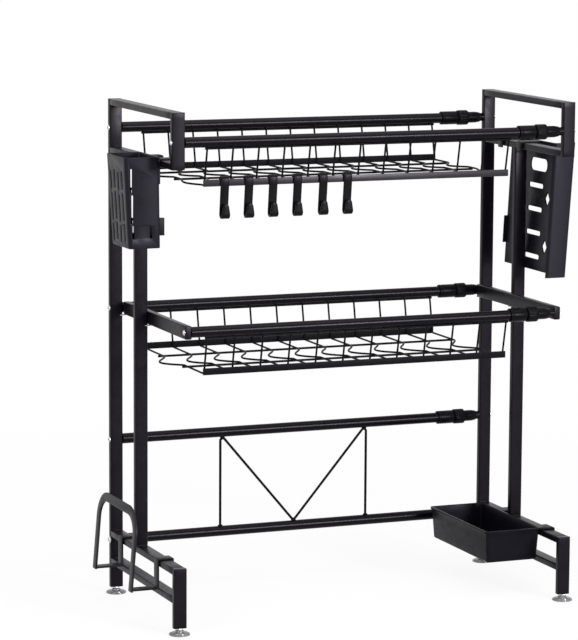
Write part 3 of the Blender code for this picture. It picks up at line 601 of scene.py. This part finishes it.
def ribbedNut(work, start, length, shoulder, y, z):
    # The grip ring is fluted, the nose and tip are plain rounds
    its = Sizes(**railShape)
    ring, edge, end, nose, tip = its.ringRadius, its.ringEdge, its.ringLength, its.noseRadius, its.tipRadius
    bore, socket = its.innerRadius + seatGap, its.neckRadius + seatGap
    stations = [(0.0, ring - edge, 0), (0.0004, ring - edge * 0.4, 0.4), (edge, ring, 1)]  # along, radius, rib
    stations += [(end * share, ring, 1) for share in (0.3, 0.5, 0.7)]
    stations += [(end - edge, ring, 1), (end - 0.0004, ring - edge * 0.4, 0.4), (end, ring - edge, 0)]
    stations += [(end + 0.0002, nose + 0.0006, 0), (end + 0.0008, nose, 0)]
    stations += [(length - its.tipLength - 0.0006, nose, 0), (length - its.tipLength, nose - 0.0001, 0)]
    stations += [(length - 0.0006, tip + 0.0002, 0), (length - 0.0001, tip - 0.0003, 0)]
    stations += [(length, tip - 0.0006, 0), (length, bore, 0), (shoulder, bore, 0), (shoulder, socket, 0)]
    stations.append((0.0, socket, 0))
    rings = []
    for along, radius, rib in stations:
        row = []
        for step, turn in enumerate(turns(its.ribs * 4, 2 * pi)[:-1]):
            reach = radius - its.ribDepth * rib * (1, 0.35, 0, 0.35)[step % 4]
            row.append((start + along, y + reach * cos(turn), z + reach * sin(turn)))
        rings.append(row)
    addLoft(work, rings, looped=True)


def makeRail(name):
    its = Sizes(**railShape)
    outer, nut, inner = (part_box(name + ending) for ending in ("_outer_tube", "_grip_nut", "_inner_tube"))
    _, y, z = middleOf(name + "_grip_nut")
    radius, bore, sleeve, neck = its.radius, its.radius - its.wall, its.sleeveRadius, its.neckRadius
    sleeveEnd = nut[0].x - its.neckGap
    sleeveStart = sleeveEnd - its.sleeveLength
    start, end = outer[0].x - seatGap, outer[1].x

    def turned(ending, profile, finish, body, node=None):
        return finishPiece(name + ending, formed(addTurned, profile, its.steps, (0.0, y, z)), finish, body, node)

    overlap = sleeveStart + its.sleeveOverlap
    profile = [(radius, start), (radius, overlap), (bore, overlap), (bore, start)]
    piece = turned("_outer_tube", profile, railCoat, "left_side", name + "_outer_tube")

    grooved, seat, step = sleeve - 0.0004, radius + 0.0001, sleeveStart + 0.0045
    profile = [(sleeve, sleeveStart), (sleeve, sleeveStart + 0.0035)]  # a fine groove runs round the sleeve
    profile += [(grooved, sleeveStart + 0.0038), (grooved, sleeveStart + 0.0046), (sleeve, sleeveStart + 0.0049)]
    profile += [(sleeve, sleeveEnd), (neck, sleeveEnd), (neck, end), (bore, end), (bore, step)]
    profile += [(seat, step), (seat, sleeveStart)]
    piece = turned("_sleeve", softened(profile, 0.0008), collarPlastic, "left_side", name + "_outer_tube")

    work = formed(ribbedNut, nut[0].x, nut[1].x - nut[0].x, end - nut[0].x + its.shoulderGap, y, z)
    piece = finishPiece(name + "_grip_nut", work, collarPlastic, name + "_grip_nut", name + "_grip_nut")

    start, end = inner[0].x, inner[1].x + seatGap
    radius, bore = its.innerRadius, its.innerRadius - its.wall
    profile = [(radius, start), (radius, end), (bore, end), (bore, start)]
    piece = turned("_inner_tube", profile, railCoat, "right_side", name + "_inner_tube")


for name in ("top_rear", "top_front", "shelf_rear", "shelf_front", "back_upper", "back_lower"):
    makeRail(name)
print("rails: six telescopic sets")


# Wire baskets

basketShape = dict(
    wire=0.0015, longWire=0.00175, weld=0.0006, inset=0.0358, length=0.485, drop=0.061, taper=0.008, bend=0.004,
    hangBend=0.006, stripHeight=0.010, stripThickness=0.003, stripCorner=0.0005, overhang=0.003,
    bowSkew=1.45, bowSteps=16, sink=0.0002, hangWeld=(0.0026, 0.0020, 0.0022), stripWeld=(0.0023, 0.0012, 0.0019),
    floorWeld=(0.0024, 0.0024, 0.0015), stripWelds=(0.0022, 0.0078), floorWeldDrop=0.0014,
)
topFloor = {"wires": 13, "longWires": (0.055, 0.152), "bows": ((0.068, 0.143, 0.0205), (0.168, 0.262, 0.0125))}
shelfFloor = {"wires": 12, "longWires": (0.081, 0.189), "bows": ((0.100, 0.188, 0.0255),)}


def floorWirePath(x, rear, front, floor, seam, layout):
    # From the rear seam to the front one, with its bows to the left
    steps = basketShape["bowSteps"]
    corners = [(x, rear, seam), (x, rear, floor), (x, front, floor), (x, front, seam)]
    path = bentPath(corners, basketShape["bend"])
    bows = []
    for first, last, depth in layout["bows"]:
        for step in range(steps + 1):
            swing = depth * sin(pi * (step / steps) ** basketShape["bowSkew"])
            bows.append(Vector((x - swing, rearFace - first - (last - first) * step / steps, floor)))
    half = len(path) // 2
    return path[:half] + bows + path[half:]


def makeBasket(name, layout):
    its = Sizes(**basketShape)
    railHeight = middleOf(name + "_rear_outer_tube")[2]
    left = leftInner + its.inset
    pitch = its.length / (layout["wires"] - 1)
    across = [left + index * pitch for index in range(layout["wires"])]
    ends = left - its.overhang, left + its.length + its.overhang
    wireRound, longRound = roundOutline(its.wire, 12), roundOutline(its.longWire)
    hang = railHeight - railShape["radius"] - its.longWire + its.sink
    stripTop = railHeight - its.drop + its.stripHeight / 2
    floor = stripTop - its.stripHeight + its.wire
    seam = floor + its.bend + seatGap
    railLines = []
    for face, end, inward in (("back", "rear", -1), ("front", "front", 1)):
        railY = middleOf(f"{name}_{end}_outer_tube")[1]
        railLines.append(railY)
        stripY = railY + inward * its.taper
        wireY = stripY + inward * (its.stripThickness / 2 + its.wire - its.weld)
        work = bmesh.new()
        for x in across:
            path = bentPath([(x, railY, hang), (x, wireY, stripTop), (x, wireY, seam)], its.hangBend, 4)
            addSweep(work, path, wireRound)
            addNugget(work, (x, railY, hang + its.sink * 2), its.hangWeld)
            for below in its.stripWelds:
                addNugget(work, (x, wireY - inward * its.weld, stripTop - below), its.stripWeld)
        addSweep(work, [(end, railY, hang) for end in ends], longRound)
        node = f"{name}_basket_{face}_grille"
        piece = finishPiece(node, work, wireCoat, "left_side", node)
        work = formed(addBlock, (ends[0], stripY - its.stripThickness / 2, stripTop - its.stripHeight),
                      (ends[1], stripY + its.stripThickness / 2, stripTop), its.stripCorner)
        # Painted light: only the top front strip takes the lighter, glossier lit copy of the wire coat; the shelf
        # strip keeps the wire coat
        finish = stripCoat if node == "top_basket_front_grille" else wireCoat  # this strip shows lighter
        piece = finishPiece(f"{name}_basket_{face}_strip", work, finish, "left_side")

    into = its.taper + its.stripThickness / 2 + its.wire + seatGap
    rear, front = railLines[0] - into, railLines[1] + into
    work = bmesh.new()
    below = floor - its.wire - its.longWire + its.weld
    for x in across:
        addSweep(work, floorWirePath(x, rear, front, floor, seam, layout), wireRound)
        for depth in layout["longWires"]:
            addNugget(work, (x, rearFace - depth, floor - its.floorWeldDrop), its.floorWeld)
    for depth in layout["longWires"]:
        addSweep(work, [(end, rearFace - depth, below) for end in ends], longRound)
    node = name + "_basket_floor_grille"
    piece = finishPiece(node, work, wireCoat, "left_side", node)
    return stripTop


topStripTop = makeBasket("top", topFloor)
makeBasket("shelf", shelfFloor)
print("baskets: two, with their weld nuggets")


# Brace wire between the low rear rails

braceShape = dict(
    radius=0.002, bend=0.004, sink=0.0002, lowWeld=(0.0042, 0.0030, 0.0016), highWeld=(0.0042, 0.0026, 0.0014),
)


def makeBrace():
    its = Sizes(**braceShape)
    low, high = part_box("brace_wire")
    radius, bend, weldReach = its.radius, its.bend, its.highWeld[0] * 0.8
    middle, y, _ = middleOf("brace_wire")
    left, right = low.x + radius, high.x - radius
    crest = middleOf("back_upper_outer_tube")[2] - railShape["radius"] - seatGap - radius
    base = middleOf("back_lower_outer_tube")[2] + railShape["radius"] + seatGap
    top, dip = crest, base + radius
    for _ in range(3):  # the corners move out until their bends reach the rails
        lean = atan2((right - left) / 2, top - dip)
        top = crest + bend * (1 / tan(lean / 2) - 1)
        dip = base + radius - bend * (1 / sin(lean) - 1)
    ends = base - its.sink
    corners = [(left, y, ends), (left, y, top), (middle, y, dip), (right, y, top), (right, y, ends)]
    work = formed(addSweep, bentPath(corners, bend, 10), roundOutline(radius, 16))
    for x in (left, right, middle):
        addNugget(work, (x, y, base + 0.0005), its.lowWeld)
    for x in (left + weldReach, right - weldReach):
        addNugget(work, (x, y, crest + radius * 0.75), its.highWeld)
    piece = finishPiece("brace_wire", work, wireCoat, "left_side", "brace_wire")


makeBrace()
print("brace: bent wire")


# Hooks on the front strip of the top basket

hookShape = dict(
    width=0.013, thickness=0.003, edge=0.0009, lip=0.0096, drop=0.0512, sweep=0.005, throat=0.0050,
    tip=0.0156, tipShare=0.62, tipRound=0.24, tipFlat=0.86, tipSteps=12, soft=0.0006,
)


def makeHook(node):
    its = Sizes(**hookShape)
    x = middleOf(node)[0]
    y = middleOf("top_front_outer_tube")[1] + basketShape["taper"]
    stripHeight = basketShape["stripHeight"]
    rest = basketShape["stripThickness"] / 2 + seatGap + its.thickness / 2
    path = [(rest, -its.lip), (rest, -its.lip * 0.5)] + arc(rest, turns(10, pi))
    path += [(-rest, -stripHeight * 0.5), (-rest, -stripHeight)]
    heel = -rest + its.sweep - its.throat
    path += arc(its.throat, turns(14, -pi), (heel, -its.drop))
    widths = [1.0] * len(path)
    for step in range(1, its.tipSteps + 1):  # the tongue narrows upwards to a round end
        share = step / its.tipSteps
        rounding = max(0.0, (share - 1 + its.tipRound) / its.tipRound)
        path.append((heel - its.throat, -its.drop + its.tip * share))
        widths.append((1 - (1 - its.tipShare) * share) * sqrt(1 - its.tipFlat * rounding ** 2))
    spots = [Vector((x, y + across, topStripTop + up)) for across, up in path]
    work = formed(addSweep, spots, roundRect(its.width, its.thickness, its.edge, 4), (1, 0, 0), widths)
    piece = finishPiece(node, work, hookPlastic, node, node)
    softEdges(piece, its.soft, 60.0, 3)


for index in range(1, 7):
    makeHook(f"hook_{index}")
print("hooks: six")


# Levelling feet

footShape = dict(
    pad=0.0158, edge=0.0026, stepHeight=0.0039, crownHeight=0.0052, hub=0.0065, hubHeight=0.0072, step=0.0125,
    stem=0.003, length=0.028, pitch=0.001, thread=0.00035, nut=0.0052, nutHeight=0.0022, nutBase=0.0076,
)


def addThread(work, x, y, base, top, sides=20):
    # A true helix: each ring climbs one pitch in a turn and joins the ring four above
    radius, depth, pitch = footShape["stem"], footShape["thread"], footShape["pitch"]
    rows = int((top - base) / pitch) * 4 + 8
    grid = []
    for row in range(rows + 1):
        ring = []
        for side, (u, v) in enumerate(roundOutline(radius - depth * (0, 0.5, 1, 0.5)[row % 4], sides)):
            z = min(max(base + (row - 4) * pitch / 4 + pitch * side / sides, base), top)
            ring.append(work.verts.new((x + u, y + v, z)))
        grid.append(ring)
    for row in range(rows):
        for side in range(sides - 1):
            work.faces.new((grid[row][side], grid[row][side + 1], grid[row + 1][side + 1], grid[row + 1][side]))
        over, above = grid[min(row + 4, rows)][0], grid[min(row + 5, rows)][0]
        seam = [grid[row][-1], over, above, grid[row + 1][-1]]
        if over is above:
            seam.remove(above)
        work.faces.new(seam)
    work.faces.new(grid[-1])
    work.faces.new(grid[0])
    work.faces.new([grid[row][0] for row in range(5)] + [grid[0][-1]])


def makeFoot(node):
    its = Sizes(**footShape)
    x, y, _ = middleOf(node)
    name = node.removesuffix("_foot")
    pad, edge, hub, top, step, crown = its.pad, its.edge, its.hub, its.hubHeight, its.step, its.crownHeight
    profile = [(0.0, 0.0003), (pad - 0.004, 0.0003), (pad - 0.003, 0.0), (pad - 0.0004, 0.0), (pad, 0.0006)]
    profile += [(pad, edge - 0.0008), (pad - 0.0008, edge), (pad - 0.0024, edge + 0.0001)]
    profile += [(pad - 0.0030, edge - 0.0004)]
    profile += [(step + 0.0004, edge - 0.0002), (step, its.stepHeight), (step - 0.0012, its.stepHeight + 0.0004)]
    profile += [(hub + 0.0012, crown - 0.0004), (hub, crown)]
    profile += [(hub, top - 0.0006), (hub - 0.0006, top), (0.0, top)]
    profile = softened(profile, 0.0006, closed=False)
    work = formed(addTurned, profile, 48, (x, y, 0.0), "Z", looped=False)
    piece = finishPiece(name + "_pad", work, padPlastic, node, node, 30.0)
    finishPiece(name + "_stem", formed(addThread, x, y, top - 0.0002, its.length), screwZinc, node, node)
    profile = [(0.0, 0.0), (its.nut, 0.0), (its.nut, its.nutHeight), (0.0, its.nutHeight)]
    profile = softened(profile, 0.0004, 2, closed=False)
    work = formed(addTurned, profile, 6, (x, y, its.nutBase), "Z", looped=False)
    finishPiece(name + "_lock_nut", work, screwZinc, node)


for side in sides:
    makeFoot(side + "_rear_foot")
    makeFoot(side + "_front_foot")
print("feet: four pads on their stems")


# Moulded boxes: one wall from the outer floor over the rim to the inner floor

def addCup(work, top, base, height, corner, wall, mouth, drift, floorRound, lip=0.0):
    # top and base are outer sizes, mouth is the middle of the rim plane, and drift leans the cup
    rings = []

    def addRing(depth, inset):
        share = depth / height
        width = top[0] + (base[0] - top[0]) * share - 2 * inset
        length = top[1] + (base[1] - top[1]) * share - 2 * inset
        outline = roundRect(width, length, max(corner - inset * 0.8, 0.0008), 6)
        middle = Vector(mouth) + Vector((drift * depth, 0.0, -depth))
        rings.append([middle + Vector((u, v, 0)) for u, v in outline])

    for turn in turns(4):
        addRing(height - floorRound * (1 - cos(turn)), floorRound * (1 - sin(turn)))
    for share in (0.75, 0.5, 0.25):
        addRing(height * share, 0.0)
    if lip:
        rim = [(0.0042, 0.0), (0.0038, -lip * 0.8), (0.0030, -lip), (0.0006, -lip), (0.0001, -lip * 0.7)]
    else:
        rim = [(0.0006, 0.0), (0.0001, 0.0004)]
    for depth, inset in rim + [(0.0, wall * 0.4), (0.0003, wall * 0.9), (0.0009, wall)]:
        addRing(depth, inset)
    for share in (0.25, 0.5, 0.75):
        addRing(height * share, wall)
    for turn in turns(4):
        addRing(height - wall - floorRound * (1 - sin(turn)), wall + floorRound * (1 - cos(turn)))
    addLoft(work, rings)


def stripOver(work, x0, y, z0, mirror, start, plate, lip, width, slack):
    # A flat tab over a rail, turned down behind it
    far, level = mirror * (tubeWidth + slack + plate / 2), seatGap + plate / 2
    corners = [(x0 + mirror * start, y, z0 + level), (x0 + far, y, z0 + level), (x0 + far, y, z0 + level - lip)]
    addSweep(work, bentPath(corners, plate * 0.62, 5), roundRect(width, plate, 0.0006, 3), across=(0, 1, 0))


# Utensil holder on the left handle

utensilShape = dict(
    rear=0.162, length=0.084, baseLength=0.078, depth=0.054, baseDepth=0.049, height=0.1345, rise=0.006,
    wall=0.002, corner=0.005, floorRound=0.0015, lean=1.3, pad=0.003, padRise=0.0045, padHeight=0.039,
    arm=0.016, armInset=0.012, plate=0.0025, plateLip=0.014, slack=0.0015,
    fin=0.0085, finWidth=0.006, finHeight=0.026, finDrop=0.0845, blockCorner=0.0008, soft=0.0004,
    drain=0.003, drainDepth=0.006, drainGrid=(0.009, 0.018),
)
utensilSlots = dict(
    width=0.0038, reach=0.007, columns=4, lengths=(0.028, 0.041, 0.026), gap=0.0045, pitch=0.0165, stagger=0.003,
    margin=0.0205, sideLengths=(0.036, 0.0425, 0.020), sideGap=0.0025, sideMargin=0.0165, sideShares=(0.17, 0.71),
)


def addSlotCutter(work, spot, length, axis):
    # A slot with round ends, cut right through along x or y; spot is its middle
    width, reach = utensilSlots["width"], utensilSlots["reach"]
    outline = roundRect(width, length, width * 0.48, 4)
    x, y, z = spot
    if axis == "x":
        addLoft(work, [[(x + out, y + u, z + v) for u, v in outline] for out in (-reach, reach)])
    else:
        addLoft(work, [[(x + u, y + out, z + v) for u, v in outline] for out in (-reach, reach)])


def makeUtensilHolder():
    its, cut = Sizes(**utensilShape), Sizes(**utensilSlots)
    x0, y0, z0 = leftFace, rearFace - its.rear - its.length / 2, handleRailTop
    back = -(seatGap + its.pad)
    outer = back - its.depth
    slope = tan(radians(its.lean))
    narrowing = (its.depth - its.baseDepth) / its.height
    top, base = (its.depth, its.length), (its.baseDepth, its.baseLength)
    mouth, drift = (x0 + back - its.depth / 2, y0, z0 + its.rise), slope + narrowing / 2
    work = formed(addCup, top, base, its.height, its.corner, its.wall, mouth, drift, its.floorRound)
    piece = finishPiece("utensil_holder", work, holderPlastic, "utensil_holder", "utensil_holder")

    work = bmesh.new()
    for column in range(cut.columns):
        y = (column - (cut.columns - 1) / 2) * cut.pitch
        high = its.rise - cut.margin - (column % 2) * cut.stagger
        for length in cut.lengths:
            x = outer + (its.rise - high) * (slope + narrowing)
            addSlotCutter(work, (x0 + x, y0 + y, z0 + high - length / 2), length, "x")
            high -= length + cut.gap
    for wall in (-1, 1):  # the full row of slots is at the outer edge in front and at the inner edge behind
        full, single = cut.sideShares[::-wall]
        high = its.rise - cut.sideMargin
        for length in cut.sideLengths:
            for share in [full, single] if length == cut.sideLengths[-1] else [full]:
                x = outer + share * its.depth + (its.rise - high) * (slope + narrowing * (1 - share))
                addSlotCutter(work, (x0 + x, y0 + wall * its.length / 2, z0 + high - length / 2), length, "y")
            high -= length + cut.sideGap
    floor = z0 + its.rise - its.height
    middle = x0 + back - its.depth / 2 + its.height * slope
    depth = its.drainDepth
    drain = [(0.0, -depth), (its.drain, -depth), (its.drain, depth), (0.0, depth)]
    for i in (-1, 1):
        for j in (-1, 0, 1):
            centre = (middle + i * its.drainGrid[0], y0 + j * its.drainGrid[1], floor)
            addTurned(work, drain, 20, centre, "Z", looped=False)
    cutWith(piece, work)

    half, high = its.length / 2 - its.corner, z0 + its.padRise
    joinOn(piece, addBlock, (x0 + back - its.wall / 4, y0 - half, high - its.padHeight),
           (x0 - seatGap, y0 + half, high), its.blockCorner)
    for y in (-half + its.armInset, half - its.armInset):
        start = -(seatGap + its.pad / 2)
        joinOn(piece, stripOver, x0, y0 + y, z0, 1, start, its.plate, its.plateLip, its.arm, its.slack)
    face = x0 + back + (its.rise + its.finDrop) * slope
    half, high = its.baseLength / 2 - its.corner, z0 - its.finDrop
    for y in (-half, half - its.finWidth):
        joinOn(piece, addBlock, (face - its.wall / 2, y0 + y, high - its.finHeight),
               (face + its.fin, y0 + y + its.finWidth, high), its.blockCorner)
    softEdges(piece, its.soft)


makeUtensilHolder()
print("utensil holder: slotted box")


# Board and knife holder on the right handle

boardShape = dict(
    rear=0.046, length=0.154, depth=0.0375, baseDepth=0.0345, rearDepth=0.026, height=0.2025, rise=0.003,
    wall=0.0025, lean=3.0, standoff=0.0112, channelDrop=0.008, channel=0.020, rearReturn=0.006, corner=0.004,
    floor=0.0025,
    arm=0.014, armPlaces=(0.078, 0.145), plate=0.0025, plateLip=0.014, slack=0.0015,
    fin=0.006, finWidth=0.006, finHeight=0.043, finDrop=0.1245, blockCorner=0.0005, soft=0.0004,
)
boardCuts = dict(  # places are from the frame's rear face and down from the handle's low rail
    window=(0.150, 0.0345, 0.058, 0.020, 0.0085), slots=(0.144, 0.0675, 0.037, 4, 0.050, 0.0075, 0.0030),
    diamonds=(0.1855, (0.0855, 0.160), 0.017, 0.025), reach=(-0.006, 0.009),
)


def ribbonOutline(path, thickness, rounding=4):
    # The outline of an even strip along a flat path, with round ends
    spots = [Vector((spot[0], spot[1])) for spot in path]
    runs = [(after - before).normalized() for before, after in zip(spots, spots[1:])]
    upper, lower = [], []
    for spot, before, after in zip(spots, runs[:1] + runs, runs + runs[-1:]):
        run = (before + after).normalized()
        across = Vector((-run.y, run.x)) * (thickness / 2 / run.dot(before))
        upper.append(spot + across)
        lower.append(spot - across)
    ends = []
    for centre, run, first in ((spots[-1], runs[-1], upper[-1]), (spots[0], -runs[0], lower[0])):
        arm = first - centre
        ends.append([centre + arm * cos(turn) + run * (thickness / 2 * sin(turn)) * 0.5
                     for turn in turns(rounding, pi)[1:-1]])
    return upper + ends[0] + lower[::-1] + ends[1]


def makeBoardHolder():
    its = Sizes(**boardShape)
    x0, y0, z0 = rightFace, rearFace, handleRailTop
    slope = tan(radians(its.lean))
    wall, back, rim, rear = its.wall, its.standoff, its.rise, -its.rear
    base, front, half = rim - its.height, rear - its.length, wall / 2
    depth = its.height + its.channelDrop
    narrowing = 1 - its.baseDepth / its.depth
    rearLip, frontLip = back + its.rearDepth - half, back + its.depth - half
    corners = [(rearLip, rear - its.rearReturn, 0), (rearLip, rear - half, 0), (back + half, rear - half, 0)]
    corners += [(back + half, front + half, 0), (frontLip, front + half, 0), (frontLip, front + its.channel, 0)]
    outline = ribbonOutline(bentPath(corners, its.corner), wall)

    def leant(x, y, z):
        # Walls narrow downwards and the whole holder leans in at the foot
        x = back + (x - back) * (1 - narrowing * (rim - z) / depth)
        return (x0 + x + z * slope, y0 + y, z0 + z)

    levels = [rim - depth * share for share in (0.0, 0.25, 0.5, 0.75, 1.0)]
    work = formed(addLoft, [[leant(*spot, level) for spot in outline] for level in levels])
    piece = finishPiece("board_holder", work, holderPlastic, "board_holder", "board_holder")

    # Only the front wall reaches below the floor
    cutWith(piece, formed(addBlock, (x0 - 0.03, y0 + front + its.corner, z0 + base - 0.02),
                          (x0 + 0.09, y0 + rear + 0.01, z0 + base), 0.0001))

    work = bmesh.new()

    def cutOutline(outline, atY, drop):
        addLoft(work, [[(x0 + back + reach + (v - drop) * slope, y0 + u - atY, z0 + v - drop) for u, v in outline]
                       for reach in boardCuts["reach"]])

    y, drop, width, height, corner = boardCuts["window"]
    cutOutline(roundRect(width, height, corner, 6), y, drop)
    y, drop, pitch, count, width, height, corner = boardCuts["slots"]
    for index in range(count):
        cutOutline(roundRect(width, height, corner, 4), y, drop + index * pitch)
    y, drops, width, height = boardCuts["diamonds"]
    for drop in drops:
        cutOutline([(width / 2, 0), (0, height / 2), (-width / 2, 0), (0, -height / 2)], y, drop)
    cutWith(piece, work)

    def leaningBlock(work, low, high):
        addBlock(work, low, high, its.blockCorner)
        for vert in work.verts:
            vert.co = Vector((x0 + vert.co.x + vert.co.z * slope, y0 + vert.co.y, z0 + vert.co.z))

    floor, high = base + its.floor, -its.finDrop
    joinOn(piece, leaningBlock, (back + half, front + half, base),
           (back + its.baseDepth - half, front + its.channel, floor))
    joinOn(piece, leaningBlock, (back + half, rear - its.channel, base),
           (back + its.rearDepth - half, rear - half, floor))
    joinOn(piece, leaningBlock, (back - its.fin, rear - its.finWidth, high - its.finHeight),
           (back + half, rear - its.corner, high))
    start = -(back + half)
    for place in its.armPlaces:
        joinOn(piece, stripOver, x0, y0 - place, z0, -1, start, its.plate, its.plateLip, its.arm, its.slack)
    softEdges(piece, its.soft)


makeBoardHolder()
print("board holder: slotted channel")


# Sink tray on the right foot

trayShape = dict(
    rear=0.028, length=0.2086, width=0.0913, taper=0.006, wall=0.002, corner=0.0045, floorRound=0.003, rim=0.0022,
    tabWidth=0.025, tab=0.003, tabLip=0.010, tabPlaces=(0.0875, 0.2275), soft=0.0005,
)


def makeTray():
    its = Sizes(**trayShape)
    x0, z0 = rightInner, footTop
    low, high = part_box("sink_tray")
    x = x0 - (seatGap + its.rim + its.width / 2)
    y = rearFace - (its.rear + its.rim + its.length / 2)
    top, base = (its.width, its.length), (its.width - its.taper, its.length - its.taper)
    mouth, height = (x, y, high.z), high.z - low.z
    work = formed(addCup, top, base, height, its.corner, its.wall, mouth, 0.0, its.floorRound, its.rim)
    piece = finishPiece("sink_tray", work, trayPlastic, "sink_tray", "sink_tray")
    for place in its.tabPlaces:
        start = -seatGap - its.rim / 2
        joinOn(piece, stripOver, x0, rearFace - place, z0, 1, start, its.tab, its.tabLip, its.tabWidth, seatGap)
    softEdges(piece, its.soft)


makeTray()
print("sink tray: moulded box")


# Pan lid holder on the left foot

lidShape = dict(
    sheet=0.0028, strip=0.0165, reach=0.043, ledgeDrop=0.0425, front=0.235, rear=0.054, rise=0.0785, corner=0.042,
    band=0.0135, lean=4.7, hookLip=0.008, soft=0.0006,
)


def makeLidHolder():
    its = Sizes(**lidShape)
    x0, z0 = leftFace, footTop
    half = (its.front - its.rear) / 2
    y0 = rearFace - (its.rear + half)
    foot = -its.ledgeDrop - its.sheet
    cornerY, cornerZ = half - its.corner, its.rise - its.corner
    arch = []
    for radius in (its.corner, its.corner - its.band):
        leg = [(cornerY + radius, foot)] + arc(radius, turns(16), (cornerY, cornerZ))
        band = leg + [(-y, z) for y, z in leg[::-1]]
        arch += band if radius == its.corner else band[::-1]
    slope = tan(radians(its.lean))
    work = formed(addLoft, [[(x0 - its.reach + face * its.sheet / 2 + (v + its.ledgeDrop) * slope, y0 + u, z0 + v)
                             for u, v in arch] for face in (-1, 1)])
    piece = finishPiece("lid_holder", work, lidCoat, "lid_holder", "lid_holder")
    gap = seatGap + its.sheet / 2
    far = tubeWidth + gap
    corners = [(far, gap - its.hookLip), (far, gap), (-gap, gap), (-gap, -its.ledgeDrop)]
    corners.append((its.sheet / 4 - its.reach, -its.ledgeDrop))
    for y in (its.strip / 2 - half, half - its.strip / 2):
        path = bentPath([(x0 + u, y0 + y, z0 + v) for u, v in corners], its.sheet * 0.7, 5)
        joinOn(piece, addSweep, path, roundRect(its.strip, its.sheet, 0.0005, 3), across=(0, 1, 0))
    softEdges(piece, its.soft)


makeLidHolder()
print("lid holder: arch on two strips")


# Studio: pale floor, white surroundings, soft lamps

studioLook = dict(floorSize=14.0, floorTone=0.95, floorLift=0.90, ambient=0.40, fadeFrom=0.5, fadeTo=1.8)


def seenDirectly(tree):
    # 1 for what the camera sees, also in a reflection or through glass, and 0 for what lights the rack
    path = makeNode(tree, "LightPath")
    seen = maths(tree, "MAXIMUM", path.outputs["Is Camera Ray"], path.outputs["Is Glossy Ray"])
    return maths(tree, "MAXIMUM", seen, path.outputs["Is Transmission Ray"])


def makeFloor():
    its = Sizes(**studioLook)
    work = bmesh.new()
    bmesh.ops.create_grid(work, x_segments=8, y_segments=8, size=its.floorSize)
    floor = meshObject("studioFloor", work)
    material, tree, spot = newFinish("paleFloor")
    tree.nodes.remove(tree.nodes["Principled BSDF"])
    away = makeNode(tree, "VectorMath", {0: spot}, operation="LENGTH").outputs["Value"]
    fade = mapped(tree, away, its.fadeFrom, its.fadeTo, its.floorLift, 1.0)
    paint = makeNode(tree, "BsdfDiffuse", {"Color": (its.floorTone, its.floorTone, its.floorTone, 1.0)})
    glow = makeNode(tree, "Emission", {"Color": (1.0, 1.0, 1.0, 1.0), "Strength": 1.0})
    lift = maths(tree, "MULTIPLY", seenDirectly(tree), fade)
    mix = makeNode(tree, "MixShader", {0: lift, 1: paint.outputs[0], 2: glow.outputs[0]})
    setInputs(tree, tree.nodes["Material Output"], {"Surface": mix.outputs[0]})
    floor.data.materials.append(material)


def makeWorld():
    world = bpy.data.worlds.new("studioWorld")
    bpy.context.scene.world = world
    world.use_nodes = True
    tree = world.node_tree
    tree.nodes.clear()
    dim, white = (makeNode(tree, "Background", {"Color": (1.0, 1.0, 1.0, 1.0), "Strength": strength})
                  for strength in (studioLook["ambient"], 1.0))
    mix = makeNode(tree, "MixShader", {0: seenDirectly(tree), 1: dim.outputs[0], 2: white.outputs[0]})
    makeNode(tree, "OutputWorld", {"Surface": mix.outputs[0]})


lamps = {
    "keyLamp": {"place": (-2.4, -1.6, 1.9), "size": (1.6, 1.6), "power": 42.0},
    "topLamp": {"place": (0.2, -0.6, 2.6), "size": (1.8, 1.8), "power": 30.0},
    "stripLamp": {"place": (1.865, -4.64, 1.45), "size": (0.9, 1.3), "power": 190.0},
}
lampAim = (0.0, 0.0, 0.4)


def makeLamps():
    for name, look in lamps.items():
        lamp = bpy.data.lights.new(name, "AREA")
        lamp.shape = "RECTANGLE"
        lamp.size, lamp.size_y = look["size"]
        lamp.energy = look["power"]
        holder = placeObject(name, lamp)
        holder.location = look["place"]
        holder.rotation_euler = (Vector(lampAim) - holder.location).to_track_quat("-Z", "Y").to_euler()
        holder.visible_camera = False  # other views may look through a lamp


cameraLook = dict(
    azimuth=-21.91, elevation=8.35, roll=0.31, aim=(-0.02068, 0.150, 0.4144), distance=4.9855,
    lens=177.9, sensor=36.0, clipEnd=60.0,
)


def makeCamera():
    look = Sizes(**cameraLook)
    azimuth, elevation, roll = (radians(angle) for angle in (look.azimuth, look.elevation, look.roll))
    level = cos(elevation)
    back = Vector((sin(azimuth) * level, -cos(azimuth) * level, sin(elevation)))
    flat = Vector((cos(azimuth), sin(azimuth), 0.0))
    rise = back.cross(flat)
    right = flat * cos(roll) + rise * sin(roll)
    up = rise * cos(roll) - flat * sin(roll)
    camera = bpy.data.cameras.new("photoCamera")
    camera.lens, camera.sensor_width, camera.clip_end = look.lens, look.sensor, look.clipEnd
    holder = placeObject("photoCamera", camera)
    turn = Matrix((right, up, back)).transposed()
    holder.matrix_world = Matrix.Translation(Vector(look.aim) + back * look.distance) @ turn.to_4x4()
    bpy.context.scene.camera = holder


makeFloor()
makeWorld()
makeLamps()
makeCamera()
bpy.context.scene.view_settings.view_transform = "Standard"
print("studio: floor, world, lamps and camera")
